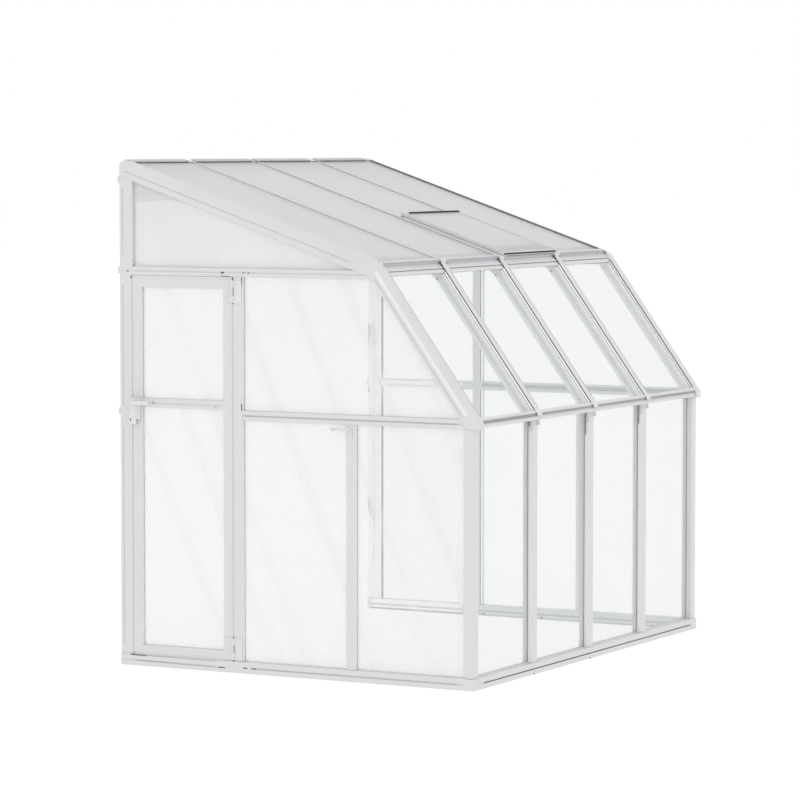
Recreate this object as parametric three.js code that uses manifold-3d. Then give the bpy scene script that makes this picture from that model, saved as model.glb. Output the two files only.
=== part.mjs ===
// Lean-to greenhouse: white extruded frame members, clear wall panels, translucent roof panels,
// a hinged door in the near gable and a hinged vent in the roof.
// Millimetres, +Z up. X runs along the house wall (near gable at -X, far gable at +X),
// the house wall is at +Y, the glazed front faces -Y. The floor is z = 0.
import * as THREE from 'three';
import { mergeVertices } from 'three/addons/utils/BufferGeometryUtils.js';
import Module from 'manifold-3d';

const wasm = await Module();
wasm.setup();

// ---------------------------------------------------------------- driving dimensions
const LENGTH = 2625;        // along the wall, over the outer faces of the gables
const DEPTH = 1980;         // wall face of the wall posts to the front face of the posts
const ROOF_TOP = 2520;      // roof line at the wall
const EAVE_Y = -459.4;      // roof line meets knee line
const EAVE_Z = 2031.5;
const KNEE_Y = -1005;       // knee line at the sill
const KNEE_Z = 1282;
const PITCH = 645;          // centre to centre of the frames along the wall
const BAR_W = 50;           // face width of posts, studs and rafters
const GABLE_T = 45;         // thickness of the gable members, across the wall
const END_T = 56;           // thickness of the corner posts and verges
const POST_D = 52;          // depth of the front posts
const BASE_H = 57;
const BASE_LIP = 6;         // the base stands proud of the posts by this
const BASE_W = 62;
const HEAD_Z0 = 1955, HEAD_Z1 = 1997;   // head rail
const MID_Z0 = 1250, MID_Z1 = 1298;     // mid rail of the gables
const WALL_POST_W = 69;
const MID_POST_Y0 = 283, MID_POST_Y1 = 333;
const STUD_Y0 = -349.5, STUD_Y1 = -299.5;
const GLASS = 4;            // clear panel
const TWIN = 10;            // twin-wall roof panel
const GABLE_TWIN = 8;       // twin-wall gable panel
const SLOT = 5.6;           // glazing slot for the clear panel
const SLOT_DEEP = 12;
const BITE = 9;             // how far a panel goes into its slot
const GLASS_X = 22.5;       // glass plane behind the gable's outer face
const GLASS_Y = 26;         // glass plane behind the front face
const GAP = 0.5;            // between members that touch
const GROOVE_W = 5, GROOVE_D = 3;   // shadow groove along the members

const XN = -LENGTH / 2, XF = LENGTH / 2;
const YW = DEPTH / 2, YF = -DEPTH / 2;
const SHIFT_X = 27.75, SHIFT_Y = 6;   // brings the middle of the bounding box to the origin

const theta = Math.atan2(ROOF_TOP - EAVE_Z, YW - EAVE_Y);
const rc = Math.cos(theta), rs = Math.sin(theta);
const kl = Math.hypot(EAVE_Y - KNEE_Y, EAVE_Z - KNEE_Z);
const ku = [(KNEE_Y - EAVE_Y) / kl, (KNEE_Z - EAVE_Z) / kl];   // down the knee line
const kn = [ku[1], -ku[0]];                                    // outward from the knee line

// roof frame: s down the slope from the wall, v outward; knee frame: u down from the eave, v outward
const R = (s, v) => [YW - s * rc - v * rs, ROOF_TOP - s * rs + v * rc];
const K = (u, v) => [EAVE_Y + u * ku[0] + v * kn[0], EAVE_Z + u * ku[1] + v * kn[1]];
const roofZ = (y, v) => { const s = (YW - y - v * rs) / rc; return ROOF_TOP - s * rs + v * rc; };
const kneeY = (z, v) => { const u = (z - EAVE_Z - v * kn[1]) / ku[1]; return EAVE_Y + u * ku[0] + v * kn[0]; };
const kneeZ = (y, v) => { const u = (y - EAVE_Y - v * kn[0]) / ku[0]; return EAVE_Z + u * ku[1] + v * kn[1]; };
// where a roof line at offset vr meets a knee line at offset vk
function meet(vr, vk) {
  const a = R(0, vr), b = K(0, vk);
  const d1 = [-rc, -rs], d2 = ku;
  const det = d1[0] * -d2[1] + d2[0] * d1[1];
  const t = ((b[0] - a[0]) * -d2[1] + d2[0] * (b[1] - a[1])) / det;
  return [a[0] + t * d1[0], a[1] + t * d1[1]];
}

// ---------------------------------------------------------------- helpers
const group = new THREE.Group();
group.name = 'lean_to_greenhouse';
group.position.set(SHIFT_X, SHIFT_Y, 0);

const WHITE = { color: 0xe9ebec, roughness: 0.38, metalness: 0.0 };
const CLEAR = { color: 0xe6f0f4, roughness: 0.08, metalness: 0.0, transparent: true, opacity: 0.25 };
const OPAL = { color: 0xe2e6e8, roughness: 0.45, metalness: 0.0, transparent: true, opacity: 0.8 };
const METAL = { color: 0xb8bcc0, roughness: 0.35, metalness: 0.9 };

function add(name, geometry, look) {
  const mesh = new THREE.Mesh(geometry, new THREE.MeshStandardMaterial(look));
  mesh.name = name;
  group.add(mesh);
  return mesh;
}
function solid(geometry) {
  let g = geometry.clone();
  g.deleteAttribute('normal');
  g.deleteAttribute('uv');
  g = mergeVertices(g, 1e-4);
  return new wasm.Manifold(new wasm.Mesh({
    numProp: 3,
    vertProperties: new Float32Array(g.attributes.position.array),
    triVerts: new Uint32Array(g.index.array),
  }));
}
function surface(manifold) {
  const m = manifold.getMesh();
  const g = new THREE.BufferGeometry();
  g.setAttribute('position', new THREE.BufferAttribute(new Float32Array(m.vertProperties), 3));
  g.setIndex(new THREE.BufferAttribute(new Uint32Array(m.triVerts), 1));
  g.computeVertexNormals();
  return g;
}
const cut = (a, ...bs) => surface(bs.reduce((m, b) => m.subtract(solid(b)), solid(a)));
const join = (a, ...bs) => surface(bs.reduce((m, b) => m.add(solid(b)), solid(a)));
// drops slivers thinner than 0.01 mm
const clean = (a) => surface(solid(a).simplify(0.01));
function box(x0, x1, y0, y1, z0, z1) {
  return new THREE.BoxGeometry(x1 - x0, y1 - y0, z1 - z0)
    .translate((x0 + x1) / 2, (y0 + y1) / 2, (z0 + z1) / 2);
}
function shape(points, holes = []) {
  const s = new THREE.Shape(points.map((p) => new THREE.Vector2(p[0], p[1])));
  for (const h of holes) s.holes.push(new THREE.Path(h.map((p) => new THREE.Vector2(p[0], p[1]))));
  return s;
}
// an outline in the Y-Z plane, extruded from x0 to x1
function slabX(points, x0, x1, holes = []) {
  const g = new THREE.ExtrudeGeometry(shape(points, holes), { depth: x1 - x0, bevelEnabled: false });
  return g.applyMatrix4(new THREE.Matrix4().makeBasis(
    new THREE.Vector3(0, 1, 0), new THREE.Vector3(0, 0, 1), new THREE.Vector3(1, 0, 0))).translate(x0, 0, 0);
}
// an outline in the X-Y plane, extruded from z0 to z1
function slabZ(points, z0, z1, holes = []) {
  return new THREE.ExtrudeGeometry(shape(points, holes), { depth: z1 - z0, bevelEnabled: false }).translate(0, 0, z0);
}
// an outline in the Z-X plane (z, x pairs), extruded from y0 to y1
function slabY(points, y0, y1) {
  const g = new THREE.ExtrudeGeometry(shape(points), { depth: y1 - y0, bevelEnabled: false });
  return g.applyMatrix4(new THREE.Matrix4().makeBasis(
    new THREE.Vector3(0, 0, 1), new THREE.Vector3(1, 0, 0), new THREE.Vector3(0, 1, 0))).translate(0, y0, 0);
}
function rodX(r, x0, x1, y, z, sides = 16) {
  return new THREE.CylinderGeometry(r, r, x1 - x0, sides).rotateZ(Math.PI / 2).translate((x0 + x1) / 2, y, z);
}
function rodZ(r, z0, z1, x, y, sides = 16) {
  return new THREE.CylinderGeometry(r, r, z1 - z0, sides).rotateX(Math.PI / 2).translate(x, y, (z0 + z1) / 2);
}
// mirrors an outline or a span of x for the far gable: the outline's winding is restored by the extrusion
const side = (far) => (far ? -1 : 1);
function spanX(far, a, b) {          // a, b: distances inwards from the gable's outer face
  return far ? [XF - b, XF - a] : [XN + a, XN + b];
}
function boxG(far, a, b, y0, y1, z0, z1) {
  const [x0, x1] = spanX(far, a, b);
  return box(x0, x1, y0, y1, z0, z1);
}
function slabG(far, points, a, b) {
  const [x0, x1] = spanX(far, a, b);
  return slabX(points, x0, x1);
}
const half = SLOT / 2;

// ---------------------------------------------------------------- base rails
function gableBase(far) {
  const g = boxG(far, -BASE_LIP, BASE_W - BASE_LIP, YF - BASE_LIP, YW, 0, BASE_H);
  return cut(g,
    boxG(far, GLASS_X - half, GLASS_X + half, YF + POST_D - 14, YW - 60, BASE_H - SLOT_DEEP, BASE_H + 5),
    boxG(far, END_T - SLOT_DEEP, END_T + 5, YF + GLASS_Y - half, YF + GLASS_Y + half, BASE_H - SLOT_DEEP, BASE_H + 5),
    boxG(far, -BASE_LIP - 2, -BASE_LIP + GROOVE_D, YF + 44, 225, 25, 25 + GROOVE_W),
    boxG(far, -BASE_LIP - 2, -BASE_LIP + GROOVE_D, 437, YW + 10, 25, 25 + GROOVE_W));
}
add('base_rail_near', gableBase(false), WHITE);
add('base_rail_far', gableBase(true), WHITE);
const innerX = LENGTH / 2 - (BASE_W - BASE_LIP) - GAP;     // the front members fit between the gables
add('base_rail_front', cut(
  box(-innerX, innerX, YF - BASE_LIP, YF - BASE_LIP + BASE_W, 0, BASE_H),
  box(-innerX - 5, innerX + 5, YF + GLASS_Y - half, YF + GLASS_Y + half, BASE_H - SLOT_DEEP, BASE_H + 5),
  box(-innerX - 5, innerX + 5, YF - BASE_LIP - 2, YF - BASE_LIP + GROOVE_D, 25, 25 + GROOVE_W)), WHITE);

// ---------------------------------------------------------------- wall posts
const VERGE_TOP = 8, VERGE_BOT = -70;     // offsets of the verge from the roof line
const VERGE_EDGE = -10, FLANGE = 75;      // where the sloping top meets the gable face; width of the top
const postTop = (y) => roofZ(y, VERGE_BOT) - GAP;
const DOOR_X0 = 3, DOOR_T = 38;           // door leaf behind the gable's outer face
const BOLT_Z = 1282, SPINDLE_Y = 891, SPINDLE_Z = 1322;
function wallPost(far) {
  const y0 = YW - WALL_POST_W, z0 = BASE_H + GAP;
  let g = slabG(far, [[y0, z0], [YW, z0], [YW, postTop(YW)], [y0, postTop(y0)]], 0, GABLE_T);
  const parts = [];
  // spacers that stand the post off the house wall
  for (const z of [2427, 1979, 1274]) parts.push(boxG(far, 7, 37, YW - 5, YW + 15, z - 17, z + 17));
  // wall anchor plates on the inner face
  for (const z of [1540, 570]) parts.push(boxG(far, GABLE_T - 3, GABLE_T + 4, YW - 46, YW - 12, z - 54, z + 54));
  if (!far) parts.push(boxG(far, DOOR_X0 + DOOR_T + 0.5, GABLE_T, y0 - 12, y0 + 5, z0, HEAD_Z0 - GAP));   // door stop
  g = join(g, ...parts);
  const cuts = [
    ...[[110, 1196], [1302, 1905], [2050, 2385]].map(([a, b]) => boxG(far, -2, GROOVE_D, YW - 20.5, YW - 20.5 + GROOVE_W, a, b)),
    boxG(far, GLASS_X - GABLE_TWIN / 2 - 0.8, GLASS_X + GABLE_TWIN / 2 + 0.8, y0 - 5, y0 + SLOT_DEEP, HEAD_Z1 - 20, 2600),
  ];
  if (far) cuts.push(boxG(far, GLASS_X - half, GLASS_X + half, y0 - 5, y0 + SLOT_DEEP, 0, HEAD_Z1 - 21));
  else cuts.push(boxG(far, 13, 30, y0 - 5, y0 + 17, BOLT_Z - 14, BOLT_Z + 14));      // strike pocket
  return cut(g, ...cuts);
}
add('wall_post_near', wallPost(false), WHITE);
add('wall_post_far', wallPost(true), WHITE);

// ---------------------------------------------------------------- mid posts of the gables
function midPost(far) {
  const z0 = BASE_H + GAP, z1 = HEAD_Z0 - GAP;
  let g = boxG(far, 0, GABLE_T, MID_POST_Y0, MID_POST_Y1, z0, z1);
  if (!far) g = join(g, boxG(far, DOOR_X0 + DOOR_T + 0.5, GABLE_T, MID_POST_Y1 - 5, MID_POST_Y1 + 16, z0, z1));
  const cuts = [boxG(far, GLASS_X - half, GLASS_X + half, MID_POST_Y0 - 5, MID_POST_Y0 + SLOT_DEEP, 0, 3000)];
  if (far) {
    cuts.push(boxG(far, GLASS_X - half, GLASS_X + half, MID_POST_Y1 - SLOT_DEEP, MID_POST_Y1 + 5, 0, 3000));
    cuts.push(boxG(far, 25.5, GABLE_T + 5, MID_POST_Y0 - 5, MID_POST_Y1 + 5, MID_Z0 - GAP, MID_Z1 + GAP));   // half lap
  }
  return cut(g, ...cuts);
}
add('mid_post_near', midPost(false), WHITE);
add('mid_post_far', midPost(true), WHITE);

// ---------------------------------------------------------------- corner posts and front posts
function cornerPost(far) {
  const g = boxG(far, 0, END_T, YF, YF + POST_D, BASE_H + GAP, MID_Z0 - GAP);
  return cut(g,
    boxG(far, END_T - SLOT_DEEP, END_T + 5, YF + GLASS_Y - half, YF + GLASS_Y + half, 0, 2000),
    boxG(far, GLASS_X - half, GLASS_X + half, YF + POST_D - SLOT_DEEP, YF + POST_D + 5, 0, 2000));
}
add('corner_post_near', cornerPost(false), WHITE);
add('corner_post_far', cornerPost(true), WHITE);
const SILL_Z0 = 1255;
[-PITCH, 0, PITCH].forEach((x, i) => {
  add(`front_post_${i + 1}`, cut(
    box(x - BAR_W / 2, x + BAR_W / 2, YF, YF + POST_D, BASE_H + GAP, SILL_Z0 - GAP),
    box(x - BAR_W / 2 - 5, x - BAR_W / 2 + SLOT_DEEP, YF + GLASS_Y - half, YF + GLASS_Y + half, 0, 2000),
    box(x + BAR_W / 2 - SLOT_DEEP, x + BAR_W / 2 + 5, YF + GLASS_Y - half, YF + GLASS_Y + half, 0, 2000)), WHITE);
});

// ---------------------------------------------------------------- gable rails and studs
const KNEE_OUT = 10, KNEE_IN = -62;      // offsets of the knee rafters from the knee line
function headRail(far) {
  const y0 = YW - WALL_POST_W - GAP;
  const v = VERGE_BOT - GAP / rc, k = KNEE_IN - GAP;
  const corner = meet(v, k);
  const pts = [[y0, HEAD_Z0], [y0, HEAD_Z1], [YW - (ROOF_TOP - HEAD_Z1) / Math.tan(theta), HEAD_Z1]];
  // the top meets the underside of the verge, the front end follows the verge and the knee
  const s = (z) => { let lo = EAVE_Y - 200, hi = YW; for (let i = 0; i < 60; i++) { const m = (lo + hi) / 2; if (roofZ(m, v) > z) hi = m; else lo = m; } return lo; };
  pts[2] = [s(HEAD_Z1), HEAD_Z1];
  if (corner[1] > HEAD_Z0) pts.push(corner, [kneeY(HEAD_Z0, k), HEAD_Z0]);
  else pts.push([s(HEAD_Z0), HEAD_Z0]);
  return cut(slabG(far, pts, 0, GABLE_T),
    boxG(far, GLASS_X - GABLE_TWIN / 2 - 0.8, GLASS_X + GABLE_TWIN / 2 + 0.8, YF, YW, HEAD_Z1 - SLOT_DEEP, HEAD_Z1 + 5),
    boxG(far, GLASS_X - half, GLASS_X + half, YF, far ? YW : MID_POST_Y1, HEAD_Z0 - 5, HEAD_Z0 + SLOT_DEEP),
    boxG(far, -2, GROOVE_D, YF, YW - WALL_POST_W - 12, (HEAD_Z0 + HEAD_Z1) / 2 - GROOVE_W / 2, (HEAD_Z0 + HEAD_Z1) / 2 + GROOVE_W / 2));
}
add('head_rail_near', headRail(false), WHITE);
add('head_rail_far', headRail(true), WHITE);
function midRail(far) {
  const k = KNEE_IN - GAP, y0 = MID_POST_Y0 - GAP;
  const front = [[kneeY(MID_Z1, k), MID_Z1], [kneeY(MID_Z0, k), MID_Z0]];
  let g = slabG(far, [[y0, MID_Z0], [y0, MID_Z1], ...front], 0, GABLE_T);
  g = cut(g,
    boxG(far, GLASS_X - half, GLASS_X + half, YF - 5, YW, MID_Z0 - 5, MID_Z0 + SLOT_DEEP),
    boxG(far, GLASS_X - half, GLASS_X + half, YF - 5, YW, MID_Z1 - SLOT_DEEP, MID_Z1 + 5),
    boxG(far, -2, GROOVE_D, YF, YW, (MID_Z0 + MID_Z1) / 2 - GROOVE_W / 2, (MID_Z0 + MID_Z1) / 2 + GROOVE_W / 2));
  // on the far gable the rail runs on to the wall post, inside of the tall panel, half lapped over the mid post
  if (far) g = join(g, boxG(far, 26, GABLE_T, y0 - 12, YW - WALL_POST_W - GAP, MID_Z0, MID_Z1));
  return g;
}
add('mid_rail_near', midRail(false), WHITE);
add('mid_rail_far', midRail(true), WHITE);
function stud(far) {
  let g = boxG(far, 0, GABLE_T, STUD_Y0, STUD_Y1, BASE_H + GAP, MID_Z0 - GAP);
  g = cut(g,
    boxG(far, GLASS_X - half, GLASS_X + half, STUD_Y0 - 5, STUD_Y0 + SLOT_DEEP, 0, 2000),
    boxG(far, GLASS_X - half, GLASS_X + half, STUD_Y1 - SLOT_DEEP, STUD_Y1 + 5, 0, 2000));
  // the clip that holds the open door: a plate on the stud and an arm towards the door
  if (!far) g = join(g,
    boxG(far, -5, 3, STUD_Y1 - 34, STUD_Y1 - 8, 1188, 1242),
    boxG(far, -14, -4, STUD_Y1 - 28, STUD_Y1 + 76, 1221, 1233),
    boxG(far, -18, -8, STUD_Y1 + 64, STUD_Y1 + 78, 1219, 1235));
  return g;
}
add('stud_near', stud(false), WHITE);
add('stud_far', stud(true), WHITE);

// ---------------------------------------------------------------- knee sill, eave beam, wall beam
const SILL_U = 905;       // the foot of the knee rafters along the knee line
add('knee_sill', slabX([
  [-938, SILL_Z0],
  [YF + GLASS_Y + half, SILL_Z0], [YF + GLASS_Y + half, SILL_Z0 + SLOT_DEEP],
  [YF + GLASS_Y - half, SILL_Z0 + SLOT_DEEP], [YF + GLASS_Y - half, SILL_Z0],
  [-1004, SILL_Z0], [-1010, SILL_Z0 + 4], [-1010, 1276], [-1003.5, 1278.5], [-1003.5, 1289], [-1006, 1290.5], [-1006, 1297],
  K(SILL_U, 8),
  K(SILL_U, -4 + half), K(SILL_U + SLOT_DEEP, -4 + half), K(SILL_U + SLOT_DEEP, -4 - half), K(SILL_U, -4 - half),
  K(SILL_U, KNEE_IN),
], -innerX, innerX), WHITE);

const EAVE_U = 72;        // the head of the knee rafters along the knee line
const SHOULDER = -12;     // what the roof panels lie on
const NOSE_Y = -479;      // the roof's front edge
const eaveBeam = slabX([
  // head bar of the knee panels, a narrow groove, the hollow face under the roof's edge, the edge itself
  K(EAVE_U, 3), K(EAVE_U - 15, 3), K(EAVE_U - 15, -2), K(EAVE_U - 21, -2), K(EAVE_U - 21, 4), K(EAVE_U - 29, 5),
  K(34, 1), K(22, -3), K(12, -4), [-465, 2025], [NOSE_Y, 2024.5], [NOSE_Y, roofZ(NOSE_Y, 6)],
  [-452, roofZ(-452, 6)], [-452, roofZ(-452, SHOULDER)],
  [-392, roofZ(-392, SHOULDER)], [-392, 1990],
  K(EAVE_U, KNEE_IN), K(EAVE_U, -4 - half), K(EAVE_U - SLOT_DEEP, -4 - half), K(EAVE_U - SLOT_DEEP, -4 + half), K(EAVE_U, -4 + half),
], -innerX, innerX);
const VENT_X0 = 20, VENT_X1 = 630;
const VENT_XM = (VENT_X0 + VENT_X1) / 2;
// between the frames its inner side is cut back to just behind the head of the knee panels
const eaveBays = [[-innerX - 1, -PITCH - BAR_W / 2], [-PITCH + BAR_W / 2, -BAR_W / 2], [BAR_W / 2, PITCH - BAR_W / 2], [PITCH + BAR_W / 2, innerX + 1]];
add('eave_beam', clean(cut(eaveBeam, ...eaveBays.map(([a, b]) => slabX(
  [K(76, -10), K(55, -10), [-440, 1998], [-388, 1998], [-388, 1980], K(76, -70)], a, b)))), WHITE);

const CAP_Y = 962;
add('wall_beam', slabX([
  [YW - 45, 2318], [YW, 2318], [YW, roofZ(YW, 4)], [CAP_Y, roofZ(CAP_Y, 6)], [CAP_Y, roofZ(CAP_Y, 1)],
  [YW - 15, roofZ(YW - 15, 1)], [YW - 15, roofZ(YW - 15, SHOULDER)], [YW - 45, roofZ(YW - 45, SHOULDER)],
], -innerX, innerX), WHITE);

// ---------------------------------------------------------------- verges: the bent edge members of the gables
function verge(far) {
  const outline = [
    [YW, roofZ(YW, VERGE_BOT)], [YW, roofZ(YW, VERGE_TOP)], meet(VERGE_TOP, KNEE_OUT),
    [-1017, kneeZ(-1017, KNEE_OUT)], [-1017, MID_Z0], [kneeY(MID_Z0, KNEE_IN), MID_Z0], meet(VERGE_BOT, KNEE_IN),
  ];
  const inner = meet(VERGE_BOT, KNEE_IN);
  // the roof part has a flange over the roof panel, and its top falls outwards to the gable face
  const yA = CAP_Y - 2, yB = -450;
  const g = join(slabG(far, outline, 0, END_T),
    slabG(far, [[yA, roofZ(yA, 0.5)], [yA, roofZ(yA, VERGE_TOP)], [yB, roofZ(yB, VERGE_TOP)], [yB, roofZ(yB, 0.5)]], END_T - 8, FLANGE));
  const s1 = (YW - inner[0]) / rc;
  const edge = (x, v, w) => solid(slabG(far, [R(-60, v), R(-60, 60), R(1640, 60), R(1640, v)], x, x + w));
  const fall = surface(wasm.Manifold.hull([edge(-3, VERGE_EDGE - 0.9, 1), edge(60, VERGE_TOP, 1)]));
  return cut(g, fall,
    // slot for the gable's twin-wall panel, under the roof part
    slabG(far, [R(-30, VERGE_BOT - 5), R(-30, VERGE_BOT + SLOT_DEEP), R(s1 - 28, VERGE_BOT + SLOT_DEEP), R(s1 - 28, VERGE_BOT - 5)],
      GLASS_X - GABLE_TWIN / 2 - 0.8, GLASS_X + GABLE_TWIN / 2 + 0.8),
    // slot for the upper gable panel, under the knee part
    slabG(far, [K(36, KNEE_IN - 5), K(36, KNEE_IN + SLOT_DEEP), K(1100, KNEE_IN + SLOT_DEEP), K(1100, KNEE_IN - 5)],
      GLASS_X - half, GLASS_X + half),
    // slot for the roof panel
    slabG(far, [R(-30, -12.4), R(-30, -0.5), R(1560, -0.5), R(1560, -12.4)], END_T - BITE - 0.6, END_T + 5),
    // the top of the front panel's slot
    boxG(far, END_T - SLOT_DEEP, END_T + 5, YF + GLASS_Y - half, YF + GLASS_Y + half, MID_Z0 - 5, SILL_Z0 + SLOT_DEEP),
    // slot for the knee panel
    slabG(far, [K(-20, -4 - half), K(-20, -4 + half), K(SILL_U + SLOT_DEEP, -4 + half), K(SILL_U + SLOT_DEEP, -4 - half)], END_T - SLOT_DEEP, END_T + 5),
    // shadow grooves on the outer face
    slabG(far, [R(40, -39 - GROOVE_W / 2), R(40, -39 + GROOVE_W / 2), R(1390, -39 + GROOVE_W / 2), R(1390, -39 - GROOVE_W / 2)], -2, GROOVE_D),
    slabG(far, [K(60, -46 - GROOVE_W / 2), K(60, -46 + GROOVE_W / 2), K(868, -46 + GROOVE_W / 2), K(868, -46 - GROOVE_W / 2)], -2, GROOVE_D));
}
add('verge_near', verge(false), WHITE);
add('verge_far', verge(true), WHITE);

// ---------------------------------------------------------------- roof rafters and knee rafters
[-PITCH, 0, PITCH].forEach((x, i) => {
  const yb = YW - 45 - GAP, ye = -392 + GAP, bot = -61, top = -11.4;
  add(`roof_rafter_${i + 1}`, join(
    slabX([[yb, roofZ(yb, bot)], [yb, roofZ(yb, top)], [ye, roofZ(ye, top)], [ye, roofZ(ye, bot)]], x - BAR_W / 2, x + BAR_W / 2),
    slabX([[CAP_Y - 1, roofZ(CAP_Y - 1, -11)], [CAP_Y - 1, roofZ(CAP_Y - 1, 3.5)], [-451.5, roofZ(-451.5, 3.5)], [-451.5, roofZ(-451.5, -11)],
      [ye + 2, roofZ(ye + 2, -11)], [ye + 2, roofZ(ye + 2, -14)], [yb - 1, roofZ(yb - 1, -14)], [yb - 1, roofZ(yb - 1, -11)]], x - 6, x + 6)), WHITE);
  const u0 = EAVE_U + GAP, u1 = SILL_U - GAP;
  // the face of the knee rafter is a cap on a narrow neck; the cap runs on over the eave and hooks over the roof's edge
  const bar = slabX([K(u0, KNEE_IN), K(u0, 6.5), K(26, 6.5), [NOSE_Y - 0.6, 2021.5], [NOSE_Y - 0.6, roofZ(NOSE_Y - 0.6, 6.6)],
    [-463, roofZ(-463, 6.6)], [-463, roofZ(-463, 9.5)], [-484.5, roofZ(-484.5, 9.5)], [-484.5, 2022],
    K(24, KNEE_OUT), K(u1, KNEE_OUT), K(u1, KNEE_IN)], x - BAR_W / 2, x + BAR_W / 2);
  const slotPts = [K(0, -4 - half), K(0, -4 + half), K(1000, -4 + half), K(1000, -4 - half)];
  const neck = [K(0, 1), K(0, 6), K(1000, 6), K(1000, 1)];
  add(`knee_rafter_${i + 1}`, cut(bar,
    slabX(neck, x - BAR_W / 2 - 5, x - BAR_W / 2 + 4),
    slabX(neck, x + BAR_W / 2 - 4, x + BAR_W / 2 + 5),
    slabX(slotPts, x - BAR_W / 2 - 5, x - BAR_W / 2 + SLOT_DEEP),
    slabX(slotPts, x + BAR_W / 2 - SLOT_DEEP, x + BAR_W / 2 + 5),
    slabX([K(0, -40), K(0, -34), K(1000, -34), K(1000, -40)], x - BAR_W / 2 - 5, x - BAR_W / 2 + 3),
    slabX([K(0, -40), K(0, -34), K(1000, -34), K(1000, -40)], x + BAR_W / 2 - 3, x + BAR_W / 2 + 5)), WHITE);
});

// ---------------------------------------------------------------- panels of roof, knee and front
const frames = [-LENGTH / 2, -PITCH, 0, PITCH, LENGTH / 2];
const HOLE_S0 = 954, HOLE_S1 = 1450;      // the vent's hole, along the slope
for (let i = 0; i < 4; i++) {
  const lo = i === 0 ? XN + END_T : null, hi = i === 3 ? XF - END_T : null;
  // roof
  const rx0 = lo !== null ? lo - BITE : frames[i] + 6.8, rx1 = hi !== null ? hi + BITE : frames[i + 1] - 6.8;
  const ry0 = YW - 16.5, ry1 = -450.5;
  let roof = slabX([[ry0, roofZ(ry0, -11)], [ry0, roofZ(ry0, -1)], [ry1, roofZ(ry1, -1)], [ry1, roofZ(ry1, -11)]], rx0, rx1);
  if (i === 2) roof = cut(roof, slabX([R(HOLE_S0, -30), R(HOLE_S0, 20), R(HOLE_S1, 20), R(HOLE_S1, -30)], VENT_X0 + 16, VENT_X1 - 16));
  add(`roof_panel_${i + 1}`, roof, OPAL);
  // knee
  const kx0 = lo !== null ? lo - BITE : frames[i] + BAR_W / 2 - BITE, kx1 = hi !== null ? hi + BITE : frames[i + 1] - BAR_W / 2 + BITE;
  add(`knee_panel_${i + 1}`, slabX([K(EAVE_U - BITE, -4 - GLASS / 2), K(EAVE_U - BITE, -4 + GLASS / 2),
    K(SILL_U + BITE, -4 + GLASS / 2), K(SILL_U + BITE, -4 - GLASS / 2)], kx0, kx1), CLEAR);
  // front
  add(`front_panel_${i + 1}`, box(kx0, kx1, YF + GLASS_Y - GLASS / 2, YF + GLASS_Y + GLASS / 2, BASE_H - BITE, SILL_Z0 + BITE), CLEAR);
}

// ---------------------------------------------------------------- panels of the gables
function gablePanels(far) {
  const side = far ? 'far' : 'near';
  const c0 = GLASS_X - GLASS / 2, c1 = GLASS_X + GLASS / 2;
  const t0 = GLASS_X - GABLE_TWIN / 2, t1 = GLASS_X + GABLE_TWIN / 2;
  const yw = YW - WALL_POST_W + BITE;
  // twin-wall triangle above the head rail
  const vTop = VERGE_BOT + BITE, zb = HEAD_Z1 - BITE;
  let yFront = EAVE_Y; for (let i = 0, lo = -600, hi = 990; i < 60; i++) { yFront = (lo + hi) / 2; if (roofZ(yFront, vTop) > zb + 14) hi = yFront; else lo = yFront; }
  add(`${side}_gable_panel`, slabG(far, [[yw, zb], [yw, roofZ(yw, vTop)], [yFront, zb + 14], [yFront, zb]], t0, t1), OPAL);
  // upper clear panel: its front edge follows the knee
  add(`${side}_upper_panel`, slabG(far, [
    [MID_POST_Y0 + BITE, MID_Z1 - BITE], [MID_POST_Y0 + BITE, HEAD_Z0 + BITE],
    [kneeY(HEAD_Z0 + BITE, KNEE_IN + BITE) + 14, HEAD_Z0 + BITE], [kneeY(HEAD_Z0 - 6, KNEE_IN + BITE), HEAD_Z0 - 6],
    [kneeY(MID_Z1 - BITE, KNEE_IN + BITE), MID_Z1 - BITE]], c0, c1), CLEAR);
  add(`${side}_lower_panel_1`, boxG(far, c0, c1, STUD_Y1 - BITE, MID_POST_Y0 + BITE, BASE_H - BITE, MID_Z0 + BITE), CLEAR);
  add(`${side}_lower_panel_2`, boxG(far, c0, c1, YF + POST_D - BITE, STUD_Y0 + BITE, BASE_H - BITE, MID_Z0 + BITE), CLEAR);
  if (far) add('far_bay_panel', boxG(far, c0, c1, MID_POST_Y1 - BITE, yw, BASE_H - BITE, HEAD_Z0 + BITE), CLEAR);
}
gablePanels(false);
gablePanels(true);

// ---------------------------------------------------------------- door, hinged on the near mid post
const DOOR_Y0 = 343, DOOR_Y1 = 916, DOOR_Z0 = 62, DOOR_Z1 = 1945;
const STILE = 50, BOTTOM_RAIL = 44, TOP_RAIL = 50;
const CROSS_Z0 = 1298, CROSS_Z1 = 1343;
const HINGE_X = XN - 8, HINGE_Y = 338;
const doorOuter = XN + DOOR_X0, doorInner = XN + DOOR_X0 + DOOR_T;
const doorMid = (doorOuter + doorInner) / 2;
const rect = (a, b, c, d) => [[a, c], [b, c], [b, d], [a, d]];
const hinges = [[1827, 1938], [64, 172]];
let leaf = slabX(rect(DOOR_Y0, DOOR_Y1, DOOR_Z0, DOOR_Z1), doorOuter, doorInner, [
  rect(DOOR_Y0 + STILE, DOOR_Y1 - STILE, DOOR_Z0 + BOTTOM_RAIL, CROSS_Z0),
  rect(DOOR_Y0 + STILE, DOOR_Y1 - STILE, CROSS_Z1, DOOR_Z1 - TOP_RAIL)]);
const doorParts = [
  // lock case on the outer face, its edge laps over the wall post
  box(XN - 15, XN - 0.8, 868, 930, 1238, 1345),
  box(XN - 2, doorOuter + 2, 868, 914, 1238, 1345),
  box(doorInner - 2, doorInner + 5, 870, 907, 1284, 1345),
];
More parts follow.
